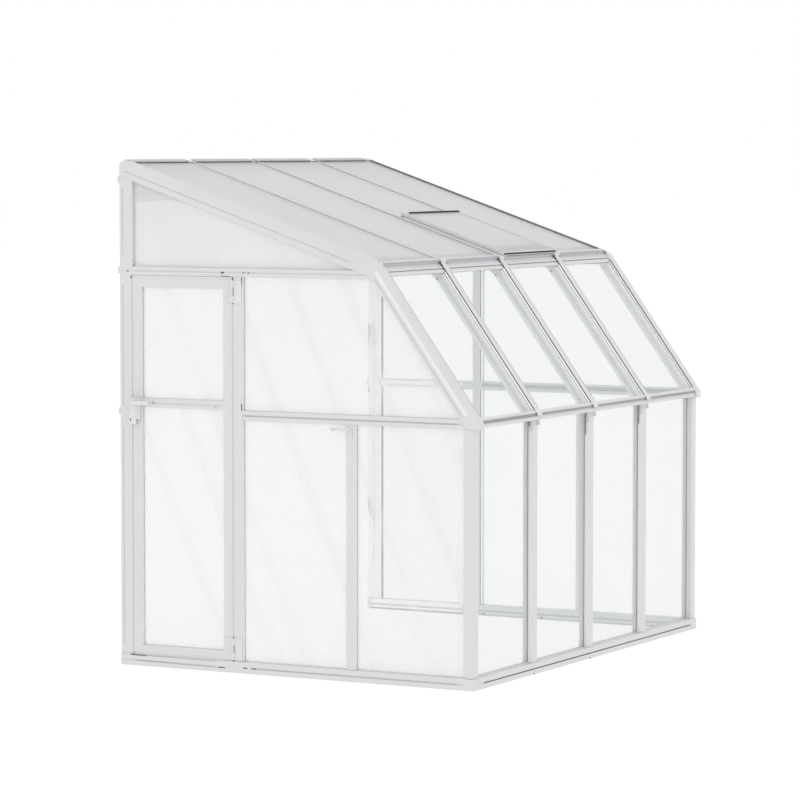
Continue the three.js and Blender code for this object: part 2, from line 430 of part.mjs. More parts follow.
for (const [z0, z1] of hinges) {
  const a = z0 + (z1 - z0) * 0.34, b = z1 - (z1 - z0) * 0.34;
  doorParts.push(box(XN, doorOuter + 1, DOOR_Y0 + 3, DOOR_Y0 + 42, z0, z1));
  doorParts.push(box(HINGE_X + 1, doorOuter + 1, HINGE_Y + 2, DOOR_Y0 + 10, a, b));
  doorParts.push(rodZ(7, a, b, HINGE_X, HINGE_Y));
}
leaf = join(leaf, ...doorParts);
leaf = cut(leaf,
  box(doorMid - half, doorMid + half, DOOR_Y0 + STILE - 10, DOOR_Y1 - STILE + 10, DOOR_Z0 + BOTTOM_RAIL - 10, DOOR_Z1 - TOP_RAIL + 10),
  box(XN + 14, XN + 29, 884, 925, BOLT_Z - 12, BOLT_Z + 12),
  rodX(6.6, XN - 30, doorInner + 30, SPINDLE_Y, SPINDLE_Z),
  ...hinges.map(([z0, z1]) => rodZ(3.6, z0 - 5, z1 + 5, HINGE_X, HINGE_Y)));
add('door_frame', leaf, WHITE);
add('door_panel', box(doorMid - GLASS / 2, doorMid + GLASS / 2, DOOR_Y0 + STILE - 8, DOOR_Y1 - STILE + 8,
  DOOR_Z0 + BOTTOM_RAIL - 8, DOOR_Z1 - TOP_RAIL + 8), CLEAR);
hinges.forEach(([z0, z1], i) => {
  const a = z0 + (z1 - z0) * 0.34 - 0.5, b = z1 - (z1 - z0) * 0.34 + 0.5;
  const web = (p, q) => box(HINGE_X + 1, XN - 0.5, HINGE_Y - 14, HINGE_Y - 2, p, q);
  add(i === 0 ? 'door_hinge_upper' : 'door_hinge_lower', join(
    box(XN - 3.5, XN - 0.5, MID_POST_Y0 + 3, HINGE_Y - 8, z0, z1),
    web(z0, a), web(b, z1), rodZ(7, z0, a, HINGE_X, HINGE_Y), rodZ(7, b, z1, HINGE_X, HINGE_Y),
    rodZ(3.2, z0 + 2, z1 - 2, HINGE_X, HINGE_Y)), METAL);
});
add('lock_bolt', box(XN + 14.5, XN + 28.5, 885, 915, BOLT_Z - 11.5, BOLT_Z + 11.5), METAL);
// lever handle: spindle through the lock stile, a lever on each face
function lever(x0, x1) {
  const pts = [[SPINDLE_Z - 9, x0], [SPINDLE_Z + 9, x0], [SPINDLE_Z + 9, x1], [SPINDLE_Z - 9, x1]];
  return slabY(pts, SPINDLE_Y - 98, SPINDLE_Y + 10);
}
add('door_handle', join(
  rodX(6, XN - 40, doorInner + 36, SPINDLE_Y, SPINDLE_Z),
  rodX(12, XN - 49, XN - 15.5, SPINDLE_Y, SPINDLE_Z), rodX(12, doorInner + 5.5, doorInner + 45, SPINDLE_Y, SPINDLE_Z),
  lever(XN - 61.5, XN - 48), lever(doorInner + 40, doorInner + 52)), METAL);

// ---------------------------------------------------------------- roof vent, hinged at its upper edge
const HINGE_S = 922, HINGE_V = 20;
const S0 = 930, S1 = 1547;          // sash along the slope
const V0 = 9.5, V1 = 27;              // sash above the roof line
// an outline in the plane of the roof: x and s pairs, extruded from v0 to v1
function slabRoof(points, v0, v1, holes = []) {
  const g = new THREE.ExtrudeGeometry(shape(points, holes), { depth: v1 - v0, bevelEnabled: false });
  // local x is X, local y is up the slope, local z is outward
  const up = new THREE.Vector3(0, rc, rs), out = new THREE.Vector3(0, -rs, rc);
  g.applyMatrix4(new THREE.Matrix4().makeBasis(new THREE.Vector3(1, 0, 0), up, out));
  return g.translate(0, YW - v0 * rs, ROOF_TOP + v0 * rc);
}
const rectS = (x0, x1, s0, s1) => [[x0, -s1], [x1, -s1], [x1, -s0], [x0, -s0]];
function rodRoof(r, x0, x1, s, v, sides = 16) { const p = R(s, v); return rodX(r, x0, x1, p[0], p[1], sides); }
const lug = (x0, x1, s, v, r) => [rodRoof(r, x0, x1, s, v)];
// fixed curb around the hole in the third roof panel, with the hinge rod along its upper edge
const curbLugs = [VENT_X0 + 3, VENT_XM - 16, VENT_X1 - 35];
add('vent_curb', clean(join(
  slabRoof(rectS(VENT_X0 + 4, VENT_X1 - 4, HINGE_S - 6, 1464), -0.6, 5, [rectS(VENT_X0 + 20, VENT_X1 - 20, HOLE_S0 + 4, HOLE_S1 - 4)]),
  slabRoof(rectS(VENT_X0 + 16.5, VENT_X1 - 16.5, HOLE_S0 + 0.5, HOLE_S1 - 0.5), -16, 3, [rectS(VENT_X0 + 20, VENT_X1 - 20, HOLE_S0 + 4, HOLE_S1 - 4)]),
  ...curbLugs.flatMap((x) => [rodRoof(8, x, x + 32, HINGE_S, HINGE_V),
    slabX([R(HINGE_S - 5, 1.5), R(HINGE_S - 5, HINGE_V - 1), R(HINGE_S + 5, HINGE_V - 1), R(HINGE_S + 5, 1.5)], x + 0.6, x + 31.4)]),
  rodRoof(4, VENT_X0 + 2, VENT_X1 - 2, HINGE_S, HINGE_V),
  // the bracket that the vent stay stands on
  box(VENT_XM - 14, VENT_XM + 14, -379.2, -374.4, 2000, 2046.5),
  box(VENT_XM - 14, VENT_XM + 14, -379.2, -352, 2000, 2004))), WHITE);
const sashLugs = [[VENT_X0 + 36, VENT_XM - 18], [VENT_XM + 18, VENT_X1 - 36]];
const SASH_BAR = 36, RIM = 8, LEDGE = 20.4;   // the panel lies on the sash's bars inside a narrow rim
let sash = slabRoof(rectS(VENT_X0, VENT_X1, S0, S1), V0, LEDGE, [rectS(VENT_X0 + SASH_BAR, VENT_X1 - SASH_BAR, S0 + SASH_BAR, S1 - SASH_BAR - 8)]);
// lifting tongue on the lower rail that carries the stay's pivot inside the opening
const PIV_S = 1424, PIV_V = 2;
sash = join(sash,
  slabRoof(rectS(VENT_X0, VENT_X1, S0, S1), LEDGE - 2, V1, [rectS(VENT_X0 + RIM, VENT_X1 - RIM, S0 + RIM, S1 - RIM)]),
  ...sashLugs.flatMap(([a, b]) => [rodRoof(8, a, b, HINGE_S, HINGE_V), slabX([R(HINGE_S, HINGE_V - 7), R(HINGE_S, V1), R(S0 + 4, V1), R(S0 + 4, HINGE_V - 7)], a, b)]),
  slabX([R(PIV_S - 8, 10), R(PIV_S - 8, 16), R(S1 - 30, 16), R(S1 - 30, 10)], VENT_XM - 16, VENT_XM + 16),
  slabX([R(PIV_S - 8, -6), R(PIV_S - 8, 11), R(PIV_S + 8, 11), R(PIV_S + 8, -6)], VENT_XM - 16, VENT_XM - 10),
  slabX([R(PIV_S - 8, -6), R(PIV_S - 8, 11), R(PIV_S + 8, 11), R(PIV_S + 8, -6)], VENT_XM + 10, VENT_XM + 16),
  rodRoof(3, VENT_XM - 14, VENT_XM + 14, PIV_S, PIV_V - 3));
sash = cut(sash,
  ...sashLugs.map(([a, b]) => rodRoof(4.5, a - 2, b + 2, HINGE_S, HINGE_V)));
add('vent_sash', sash, WHITE);
add('vent_panel', slabRoof(rectS(VENT_X0 + RIM + 0.5, VENT_X1 - RIM - 0.5, S0 + RIM + 0.5, S1 - RIM - 0.5), LEDGE + 0.2, V1 - 0.4), OPAL);
// the stay: a flat arm stowed up the slope under the sash, with a hook at its foot
const ARM = 262;
add('vent_stay', cut(
  slabX([R(PIV_S + 7, PIV_V - 8), R(PIV_S + 7, PIV_V + 3), R(PIV_S - ARM, PIV_V + 3), R(PIV_S - ARM, PIV_V - 22),
    R(PIV_S - ARM + 14, PIV_V - 22), R(PIV_S - ARM + 14, PIV_V - 8)], VENT_XM - 6, VENT_XM + 6),
  rodRoof(3.5, VENT_XM - 20, VENT_XM + 20, PIV_S, PIV_V - 3),
  ...[70, 120, 170, 220].map((d) => rodRoof(3, VENT_XM - 20, VENT_XM + 20, PIV_S - d, PIV_V - 2.5, 10))), METAL);

export default group;
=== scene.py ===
import math

import bmesh
import bpy
from mathutils import Matrix, Vector


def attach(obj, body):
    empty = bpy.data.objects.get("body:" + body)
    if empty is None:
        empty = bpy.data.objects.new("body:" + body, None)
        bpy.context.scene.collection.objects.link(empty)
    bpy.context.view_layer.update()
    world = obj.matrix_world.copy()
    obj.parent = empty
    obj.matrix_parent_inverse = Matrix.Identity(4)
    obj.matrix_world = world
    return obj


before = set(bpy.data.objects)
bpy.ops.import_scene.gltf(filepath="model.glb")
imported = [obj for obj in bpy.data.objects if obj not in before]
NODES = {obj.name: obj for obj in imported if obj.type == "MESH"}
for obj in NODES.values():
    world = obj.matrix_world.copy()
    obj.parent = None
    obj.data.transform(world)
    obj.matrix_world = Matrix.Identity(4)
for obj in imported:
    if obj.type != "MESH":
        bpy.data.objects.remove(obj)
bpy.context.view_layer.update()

scene = bpy.context.scene

# ---------------------------------------------------------------- dimensions, in millimetres, as in the part
LENGTH, DEPTH = 2625.0, 1980.0
ROOF_TOP = 2520.0
EAVE_Y, EAVE_Z = -459.4, 2031.5
KNEE_Y, KNEE_Z = -1005.0, 1282.0
PITCH, BAR_W, GABLE_T, END_T, POST_D = 645.0, 50.0, 45.0, 56.0, 52.0
BASE_H, BASE_LIP, BASE_W = 57.0, 6.0, 62.0
HEAD_Z0, HEAD_Z1, MID_Z0, MID_Z1 = 1955.0, 1997.0, 1250.0, 1298.0
WALL_POST_W = 69.0
MID_POST_Y0, MID_POST_Y1 = 283.0, 333.0
STUD_Y0, STUD_Y1 = -349.5, -299.5
GLASS_X, GLASS_Y = 22.5, 26.0
SILL_Z0 = 1255.0
EAVE_U, SILL_U, CAP_Y, FLANGE = 72.0, 905.0, 962.0, 75.0
VENT_X0, VENT_X1, VENT_S0, VENT_S1 = 20.0, 630.0, 930.0, 1547.0
XN, XF, YW, YF = -LENGTH / 2, LENGTH / 2, DEPTH / 2, -DEPTH / 2
SHIFT = Vector((27.75, 6.0, 0.0))
theta = math.atan2(ROOF_TOP - EAVE_Z, YW - EAVE_Y)
RC, RS = math.cos(theta), math.sin(theta)
KL = math.hypot(EAVE_Y - KNEE_Y, EAVE_Z - KNEE_Z)
KU = ((KNEE_Y - EAVE_Y) / KL, (KNEE_Z - EAVE_Z) / KL)
KN = (KU[1], -KU[0])


def R(s, v):
    """roof frame: s down the slope from the wall, v outward -> (y, z)"""
    return (YW - s * RC - v * RS, ROOF_TOP - s * RS + v * RC)


def K(u, v):
    """knee frame: u down from the eave, v outward -> (y, z)"""
    return (EAVE_Y + u * KU[0] + v * KN[0], EAVE_Z + u * KU[1] + v * KN[1])


def roof_z(y, v):
    s = (YW - y - v * RS) / RC
    return ROOF_TOP - s * RS + v * RC


def knee_y(z, v):
    u = (z - EAVE_Z - v * KN[1]) / KU[1]
    return EAVE_Y + u * KU[0] + v * KN[0]


# ---------------------------------------------------------------- node materials
def new_mat(name):
    m = bpy.data.materials.new(name)
    m.use_nodes = True
    nt = m.node_tree
    nt.nodes.clear()
    out = nt.nodes.new("ShaderNodeOutputMaterial")
    return m, nt, out


def node(nt, kind, **kw):
    n = nt.nodes.new(kind)
    for k, v in kw.items():
        setattr(n, k, v)
    return n


def noise(nt, coord, scale, detail=3.0, rough=0.5, stretch=None):
    vec = coord
    if stretch is not None:
        mp = node(nt, "ShaderNodeMapping")
        mp.inputs["Scale"].default_value = stretch
        nt.links.new(coord, mp.inputs["Vector"])
        vec = mp.outputs["Vector"]
    n = node(nt, "ShaderNodeTexNoise")
    n.inputs["Scale"].default_value = scale
    n.inputs["Detail"].default_value = detail
    n.inputs["Roughness"].default_value = rough
    nt.links.new(vec, n.inputs["Vector"])
    return n.outputs["Fac"]


def ramp(nt, fac, stops, ease="LINEAR"):
    r = node(nt, "ShaderNodeValToRGB")
    r.color_ramp.interpolation = ease
    el = r.color_ramp.elements
    while len(el) < len(stops):
        el.new(0.5)
    for e, (p, c) in zip(el, stops):
        e.position = p
        e.color = c if len(c) == 4 else (*c, 1.0)
    nt.links.new(fac, r.inputs["Fac"])
    return r.outputs["Color"]


def maprange(nt, fac, a, b, c, d):
    m = node(nt, "ShaderNodeMapRange")
    m.inputs["From Min"].default_value = a
    m.inputs["From Max"].default_value = b
    m.inputs["To Min"].default_value = c
    m.inputs["To Max"].default_value = d
    nt.links.new(fac, m.inputs["Value"])
    return m.outputs["Result"]


def bump(nt, height, strength, distance):
    b = node(nt, "ShaderNodeBump")
    b.inputs["Strength"].default_value = strength
    b.inputs["Distance"].default_value = distance
    nt.links.new(height, b.inputs["Height"])
    return b.outputs["Normal"]


def shade(c, k):
    return tuple(min(1.0, x * k) for x in c)


def plastic(name, base, rough=0.36, var=0.02, grain=0.05, dust=0.0, metallic=0.0, streak=None, painted_shade_band=None, glow=0.0):
    """extruded or moulded plastic: faint tone variation, draw lines along the bar, fine orange peel, a little dust near the ground"""
    m, nt, out = new_mat(name)
    co = node(nt, "ShaderNodeTexCoord").outputs["Object"]
    tone = noise(nt, co, 2.6, 4.0, 0.55)
    col = ramp(nt, tone, [(0.25, shade(base, 1.0 - var)), (0.75, shade(base, 1.0 + var))])
    if painted_shade_band is not None:
        # painted shade: soft change of tone over a band of height: (z below, z above, tone above)
        fs = node(nt, "ShaderNodeSeparateXYZ")
        nt.links.new(co, fs.inputs[0])
        up_fac = maprange(nt, fs.outputs["Z"], painted_shade_band[0], painted_shade_band[1], 0.0, 1.0)
        fmix = node(nt, "ShaderNodeMixRGB")
        fmix.inputs["Color2"].default_value = (*painted_shade_band[2], 1.0)
        nt.links.new(up_fac, fmix.inputs["Fac"])
        nt.links.new(col, fmix.inputs["Color1"])
        col = fmix.outputs["Color"]
    if dust > 0.0:
        sep = node(nt, "ShaderNodeSeparateXYZ")
        nt.links.new(co, sep.inputs[0])
        low = maprange(nt, sep.outputs["Z"], 0.0, 0.16, dust, 0.0)
        spots = noise(nt, co, 34.0, 5.0, 0.65)
        mul = node(nt, "ShaderNodeMath", operation="MULTIPLY")
        nt.links.new(low, mul.inputs[0])
        nt.links.new(spots, mul.inputs[1])
        mix = node(nt, "ShaderNodeMixRGB")
        mix.inputs["Color2"].default_value = (*shade((0.62, 0.6, 0.56), 1.0), 1.0)
        nt.links.new(mul.outputs[0], mix.inputs["Fac"])
        nt.links.new(col, mix.inputs["Color1"])
        col = mix.outputs["Color"]
    lines = noise(nt, co, 160.0, 2.0, 0.5, streak or (1.0, 1.0, 0.02))
    peel = noise(nt, co, 900.0, 2.0, 0.5)
    add = node(nt, "ShaderNodeMath", operation="ADD")
    nt.links.new(lines, add.inputs[0])
    nt.links.new(peel, add.inputs[1])
    nrm = bump(nt, add.outputs[0], grain, 0.0006)
    rg = maprange(nt, noise(nt, co, 7.0, 3.0), 0.3, 0.7, rough - 0.05, rough + 0.06)
    b = node(nt, "ShaderNodeBsdfPrincipled")
    b.inputs["Metallic"].default_value = metallic
    if glow > 0.0:
        # painted light: an emission that makes the strip glow, though it is no lamp
        b.inputs["Emission Color"].default_value = (1.0, 1.0, 1.0, 1.0)
        b.inputs["Emission Strength"].default_value = glow
    b.inputs["Specular IOR Level"].default_value = 0.35
    nt.links.new(col, b.inputs["Base Color"])
    nt.links.new(rg, b.inputs["Roughness"])
    nt.links.new(nrm, b.inputs["Normal"])
    nt.links.new(b.outputs["BSDF"], out.inputs["Surface"])
    return m


# painted reflection bands over the gable panes: place across them, half width, strength
BANDS = ((-1.27, 0.055, 0.8), (-1.03, 0.055, 0.9), (-0.755, 0.055, 0.8), (-0.44, 0.058, 1.0), (-0.09, 0.062, 1.0),
         (0.07, 0.055, 0.8), (0.31, 0.058, 0.9))


def clear_sheet(name, tint, haze, painted_reflections=0.0):
    """clear acrylic with a milky bloom: see-through with a slight tint, a soft veil that also passes light on, a glossy
    face with a very slight ripple and fine wipe marks, and on request faint soft bands of painted reflection that lean
    over the pane"""
    m, nt, out = new_mat(name)
    co = node(nt, "ShaderNodeTexCoord").outputs["Object"]
    ripple = noise(nt, co, 3.2, 1.5, 0.4)
    scratch = noise(nt, co, 420.0, 2.0, 0.5, (1.0, 0.6, 0.12))
    add = node(nt, "ShaderNodeMath", operation="MULTIPLY_ADD")
    add.inputs[1].default_value = 1.0
    nt.links.new(ripple, add.inputs[0])
    sc = maprange(nt, scratch, 0.0, 1.0, 0.0, 0.004)
    nt.links.new(sc, add.inputs[2])
    nrm = bump(nt, add.outputs[0], 0.12, 0.01)
    seen = node(nt, "ShaderNodeBsdfTransparent")
    seen.inputs["Color"].default_value = (*tint, 1.0)
    gloss = node(nt, "ShaderNodeBsdfGlossy")
    gloss.inputs["Color"].default_value = (0.95, 0.97, 0.98, 1.0)
    rg = maprange(nt, scratch, 0.35, 0.7, 0.03, 0.09)
    nt.links.new(rg, gloss.inputs["Roughness"])
    nt.links.new(nrm, gloss.inputs["Normal"])
    front = node(nt, "ShaderNodeBsdfDiffuse")
    front.inputs["Color"].default_value = (0.90, 0.905, 0.91, 1.0)
    through = node(nt, "ShaderNodeBsdfTranslucent")
    through.inputs["Color"].default_value = (0.93, 0.935, 0.94, 1.0)
    veil = node(nt, "ShaderNodeMixShader")
    veil.inputs["Fac"].default_value = 0.5
    nt.links.new(front.outputs[0], veil.inputs[1])
    nt.links.new(through.outputs[0], veil.inputs[2])
    fr = node(nt, "ShaderNodeFresnel")
    fr.inputs["IOR"].default_value = 1.25
    frs = maprange(nt, fr.outputs[0], 0.0, 1.0, 0.0, 0.3)
    fac = maprange(nt, noise(nt, co, 1.7, 4.0, 0.6), 0.35, 0.75, haze * 0.98, haze * 1.02)
    if painted_reflections > 0.0:
        # painted reflection: soft narrow bands that lean over the panes, slightly wavy and broken up by a slow noise
        lean = node(nt, "ShaderNodeMapping")
        lean.inputs["Rotation"].default_value = (math.radians(23.8), 0.0, 0.0)
        nt.links.new(co, lean.inputs["Vector"])
        parts = node(nt, "ShaderNodeSeparateXYZ")
        nt.links.new(lean.outputs["Vector"], parts.inputs[0])
        wavy = node(nt, "ShaderNodeMath", operation="MULTIPLY_ADD")
        nt.links.new(noise(nt, co, 2.4, 2.0), wavy.inputs[0])
        wavy.inputs[1].default_value = 0.036
        nt.links.new(parts.outputs["Y"], wavy.inputs[2])
        stops = []
        for at, half, k in BANDS:
            for d, v in ((-half, 0.0), (0.0, k), (half, 0.0)):
                stops.append(((at + d + 0.018 + 1.5) / 2.0, (v, v, v)))
        cut = ramp(nt, maprange(nt, wavy.outputs[0], -1.5, 0.5, 0.0, 1.0), stops, "EASE")
        slow = maprange(nt, noise(nt, co, 1.3, 1.0), 0.34, 0.54, painted_reflections * 0.4, painted_reflections)
        mul = node(nt, "ShaderNodeMath", operation="MULTIPLY")
        nt.links.new(cut, mul.inputs[0])
        nt.links.new(slow, mul.inputs[1])
        sm = node(nt, "ShaderNodeMath", operation="ADD")
        nt.links.new(fac, sm.inputs[0])
        nt.links.new(mul.outputs[0], sm.inputs[1])
        fac = sm.outputs[0]
    mix1 = node(nt, "ShaderNodeMixShader")
    nt.links.new(fac, mix1.inputs["Fac"])
    nt.links.new(seen.outputs[0], mix1.inputs[1])
    nt.links.new(veil.outputs[0], mix1.inputs[2])
    mix2 = node(nt, "ShaderNodeMixShader")
    nt.links.new(frs, mix2.inputs["Fac"])
    nt.links.new(mix1.outputs[0], mix2.inputs[1])
    nt.links.new(gloss.outputs[0], mix2.inputs[2])
    nt.links.new(mix2.outputs[0], out.inputs["Surface"])
    return m


def twin_wall(name, base, cover, axis, pitch=0.011, rib_tone=0.966):
    """twin-wall sheet: milky, with inner ribs that show as fine lines and a little light through it"""
    m, nt, out = new_mat(name)
    co = node(nt, "ShaderNodeTexCoord").outputs["Object"]
    wave = node(nt, "ShaderNodeTexWave", wave_type="BANDS", bands_direction=axis)
    wave.inputs["Scale"].default_value = 2.0 * math.pi / (20.0 * pitch)
    nt.links.new(co, wave.inputs["Vector"])
    rib = maprange(nt, wave.outputs["Fac"], 0.82, 1.0, 0.0, 1.0)
    tone = noise(nt, co, 2.2, 3.0, 0.5)
    col = ramp(nt, tone, [(0.3, shade(base, 0.985)), (0.7, shade(base, 1.015))])
    dark = node(nt, "ShaderNodeMixRGB", blend_type="MULTIPLY")
    dark.inputs["Color2"].default_value = (rib_tone, rib_tone, rib_tone, 1.0)
    nt.links.new(rib, dark.inputs["Fac"])
    nt.links.new(col, dark.inputs["Color1"])
    b = node(nt, "ShaderNodeBsdfPrincipled")
    b.inputs["Roughness"].default_value = 0.32
    b.inputs["Specular IOR Level"].default_value = 0.4
    nt.links.new(dark.outputs["Color"], b.inputs["Base Color"])
    nrm = bump(nt, wave.outputs["Fac"], 0.08, 0.001)
    nt.links.new(nrm, b.inputs["Normal"])
    tl = node(nt, "ShaderNodeBsdfTranslucent")
    nt.links.new(dark.outputs["Color"], tl.inputs["Color"])
    body = node(nt, "ShaderNodeMixShader")
    body.inputs["Fac"].default_value = 0.35
    nt.links.new(b.outputs[0], body.inputs[1])
    nt.links.new(tl.outputs[0], body.inputs[2])
    seen = node(nt, "ShaderNodeBsdfTransparent")
    seen.inputs["Color"].default_value = (0.97, 0.98, 0.98, 1.0)
    fac = maprange(nt, rib, 0.0, 1.0, cover, cover + (1.0 - rib_tone) * 1.5)
    mix = node(nt, "ShaderNodeMixShader")
    nt.links.new(fac, mix.inputs["Fac"])
    nt.links.new(seen.outputs[0], mix.inputs[1])
    nt.links.new(body.outputs[0], mix.inputs[2])
    nt.links.new(mix.outputs[0], out.inputs["Surface"])
    return m


WHITE_BASE = (0.68, 0.683, 0.686)
M_WHITE_Z = plastic("upvc_white_upright", WHITE_BASE, dust=0.06, streak=(1.0, 1.0, 0.02))
M_WHITE_Y = plastic("upvc_white_cross", WHITE_BASE, dust=0.06, streak=(1.0, 0.02, 1.0))
M_WHITE_X = plastic("upvc_white_long", WHITE_BASE, dust=0.06, streak=(0.02, 1.0, 1.0))
M_CONN = plastic("moulded_white_connector", (0.72, 0.722, 0.725), rough=0.42, grain=0.09)
# paler than the frames: paints the highlight along the near verge's ridge
M_BEAD = plastic("verge_ridge_painted_highlight", (0.80, 0.802, 0.805), rough=0.3, grain=0.03)
# glazing beads with a painted glow that brightens them and the shaded sides of the members beside them
M_BEAD_IN = plastic("glazing_bead_painted_glow", (0.80, 0.802, 0.805), rough=0.3, grain=0.03, glow=0.30)
# pale cover with a painted glow that brightens the far gable's shaded inner side
M_COVER = plastic("pale_cover_strip_painted_glow", (0.80, 0.802, 0.805), rough=0.34, grain=0.03, glow=0.15)
# paler than the frames and with a faint painted glow: painted light along the edges of the glass
M_BEAD_F = plastic("pale_edge_bead_painted_glow", (0.74, 0.742, 0.745), rough=0.3, grain=0.03, glow=0.06)
M_TOP = plastic("roof_edge_top", (0.64, 0.643, 0.646), rough=0.34, grain=0.04, streak=(0.02, 1.0, 1.0))
# dark grey seal; at the far verge's raised edge and beside the vent sash it paints shade
M_SEAL = plastic("dark_grey_seal_and_painted_shade", (0.17, 0.172, 0.176), rough=0.6, var=0.08, grain=0.12)
M_CLEAR = clear_sheet("clear_acrylic", (0.957, 0.959, 0.959), 0.05)
M_CLEAR_FAR = clear_sheet("clear_acrylic_far", (0.992, 0.994, 0.994), 0.04)
# the gable panes carry the painted reflection bands
M_CLEAR_G = clear_sheet("clear_acrylic_gable", (0.980, 0.982, 0.982), 0.36, painted_reflections=0.17)
M_ROOF = twin_wall("twin_wall_roof", (0.79, 0.793, 0.795), 0.88, "X")
M_TRI = twin_wall("twin_wall_gable", (0.875, 0.878, 0.88), 0.62, "Y", rib_tone=0.992)
M_GASKET = plastic("grey_gasket", (0.56, 0.563, 0.568), rough=0.6, var=0.08, grain=0.12)
# mid grey: painted shade on the sill's face and beside the hinges, and a joint line on the roof
M_SHADE = plastic("joint_grey_and_painted_shade", (0.58, 0.582, 0.586), rough=0.4, grain=0.04, streak=(0.02, 1.0, 1.0))
M_SILL = plastic("sill_groove_seal", (0.33, 0.333, 0.338), rough=0.6, var=0.08, grain=0.12)
M_LINE = plastic("mid_grey_seal", (0.30, 0.303, 0.308), rough=0.6, var=0.08, grain=0.12)
# near-black that paints the shade in the front base's groove
M_BASE_LINE = plastic("base_groove_painted_shade", (0.13, 0.132, 0.136), rough=0.6, var=0.08, grain=0.12)
# near-black: seals, slots and the keyhole, and also painted shade in gaps under caps, in corners and grooves
M_DARK = plastic("dark_seal_and_painted_shade", (0.03, 0.031, 0.034), rough=0.65, var=0.12, grain=0.12)
# the cove darkens towards its top: painted shadow under the roof's nose; it also has a faint painted glow
M_GUTTER = plastic("blue_grey_gutter_painted_shadow", (0.76, 0.775, 0.79), rough=0.38, var=0.04, grain=0.04, streak=(0.02, 1.0, 1.0), painted_shade_band=(2.000, 2.019, (0.55, 0.565, 0.585)), glow=0.06)
M_NOSE = plastic("blue_grey_edge", (0.40, 0.41, 0.425), rough=0.38, var=0.04, grain=0.04, streak=(0.02, 1.0, 1.0))
# grey of the capping strips; the same grey paints the shade in grooves on the bases, mid rails and the far wall post
M_CAP = plastic("grey_capping_and_groove_shade", (0.44, 0.455, 0.465), rough=0.34, var=0.03, grain=0.04, streak=(0.02, 1.0, 1.0))
M_STEEL = plastic("satin_hardware", (0.62, 0.63, 0.64), rough=0.3, var=0.04, grain=0.05, metallic=0.85)
M_SCREW = plastic("zinc_screw", (0.30, 0.30, 0.31), rough=0.35, var=0.06, grain=0.05, metallic=0.6)


# ---------------------------------------------------------------- CAD nodes: materials and rounded edges
def dress(name, mat, width=0.0011, segments=2):
    o = NODES[name]
    o.data.materials.clear()
    o.data.materials.append(mat)
    if width > 0.0:
        w = o.modifiers.new("weld", "WELD")
        w.merge_threshold = 1e-5
        b = o.modifiers.new("round", "BEVEL")
        b.width = width
        b.segments = segments
        b.limit_method = "ANGLE"
        b.angle_limit = math.radians(28.0)
    return o


for n in NODES:
    if n.startswith(("wall_post", "mid_post", "corner_post", "front_post", "stud", "door_frame")):
        dress(n, M_WHITE_Z)
    elif n.startswith(("head_rail", "mid_rail", "base_rail_near", "base_rail_far", "verge")):
        dress(n, M_WHITE_Y)
    elif n in ("base_rail_front", "knee_sill", "eave_beam", "wall_beam"):
        dress(n, M_WHITE_X)
    elif n.startswith(("roof_rafter", "knee_rafter", "vent_sash", "vent_curb")):
        dress(n, M_WHITE_Y)
    elif n.startswith("roof_panel") or n == "vent_panel":
        dress(n, M_ROOF, 0.0)
    elif n.endswith("_gable_panel"):
        dress(n, M_TRI, 0.0)
    elif n.startswith("near_") or n == "door_panel":
        dress(n, M_CLEAR_G, 0.0)
    elif n.startswith("far_"):
        dress(n, M_CLEAR_FAR, 0.0)
    elif n.startswith(("front_panel", "knee_panel")):
        dress(n, M_CLEAR, 0.0)
    elif n in ("door_handle", "door_hinge_upper", "door_hinge_lower"):
        dress(n, M_CONN, 0.0008)
    else:
        dress(n, M_STEEL, 0.0006)


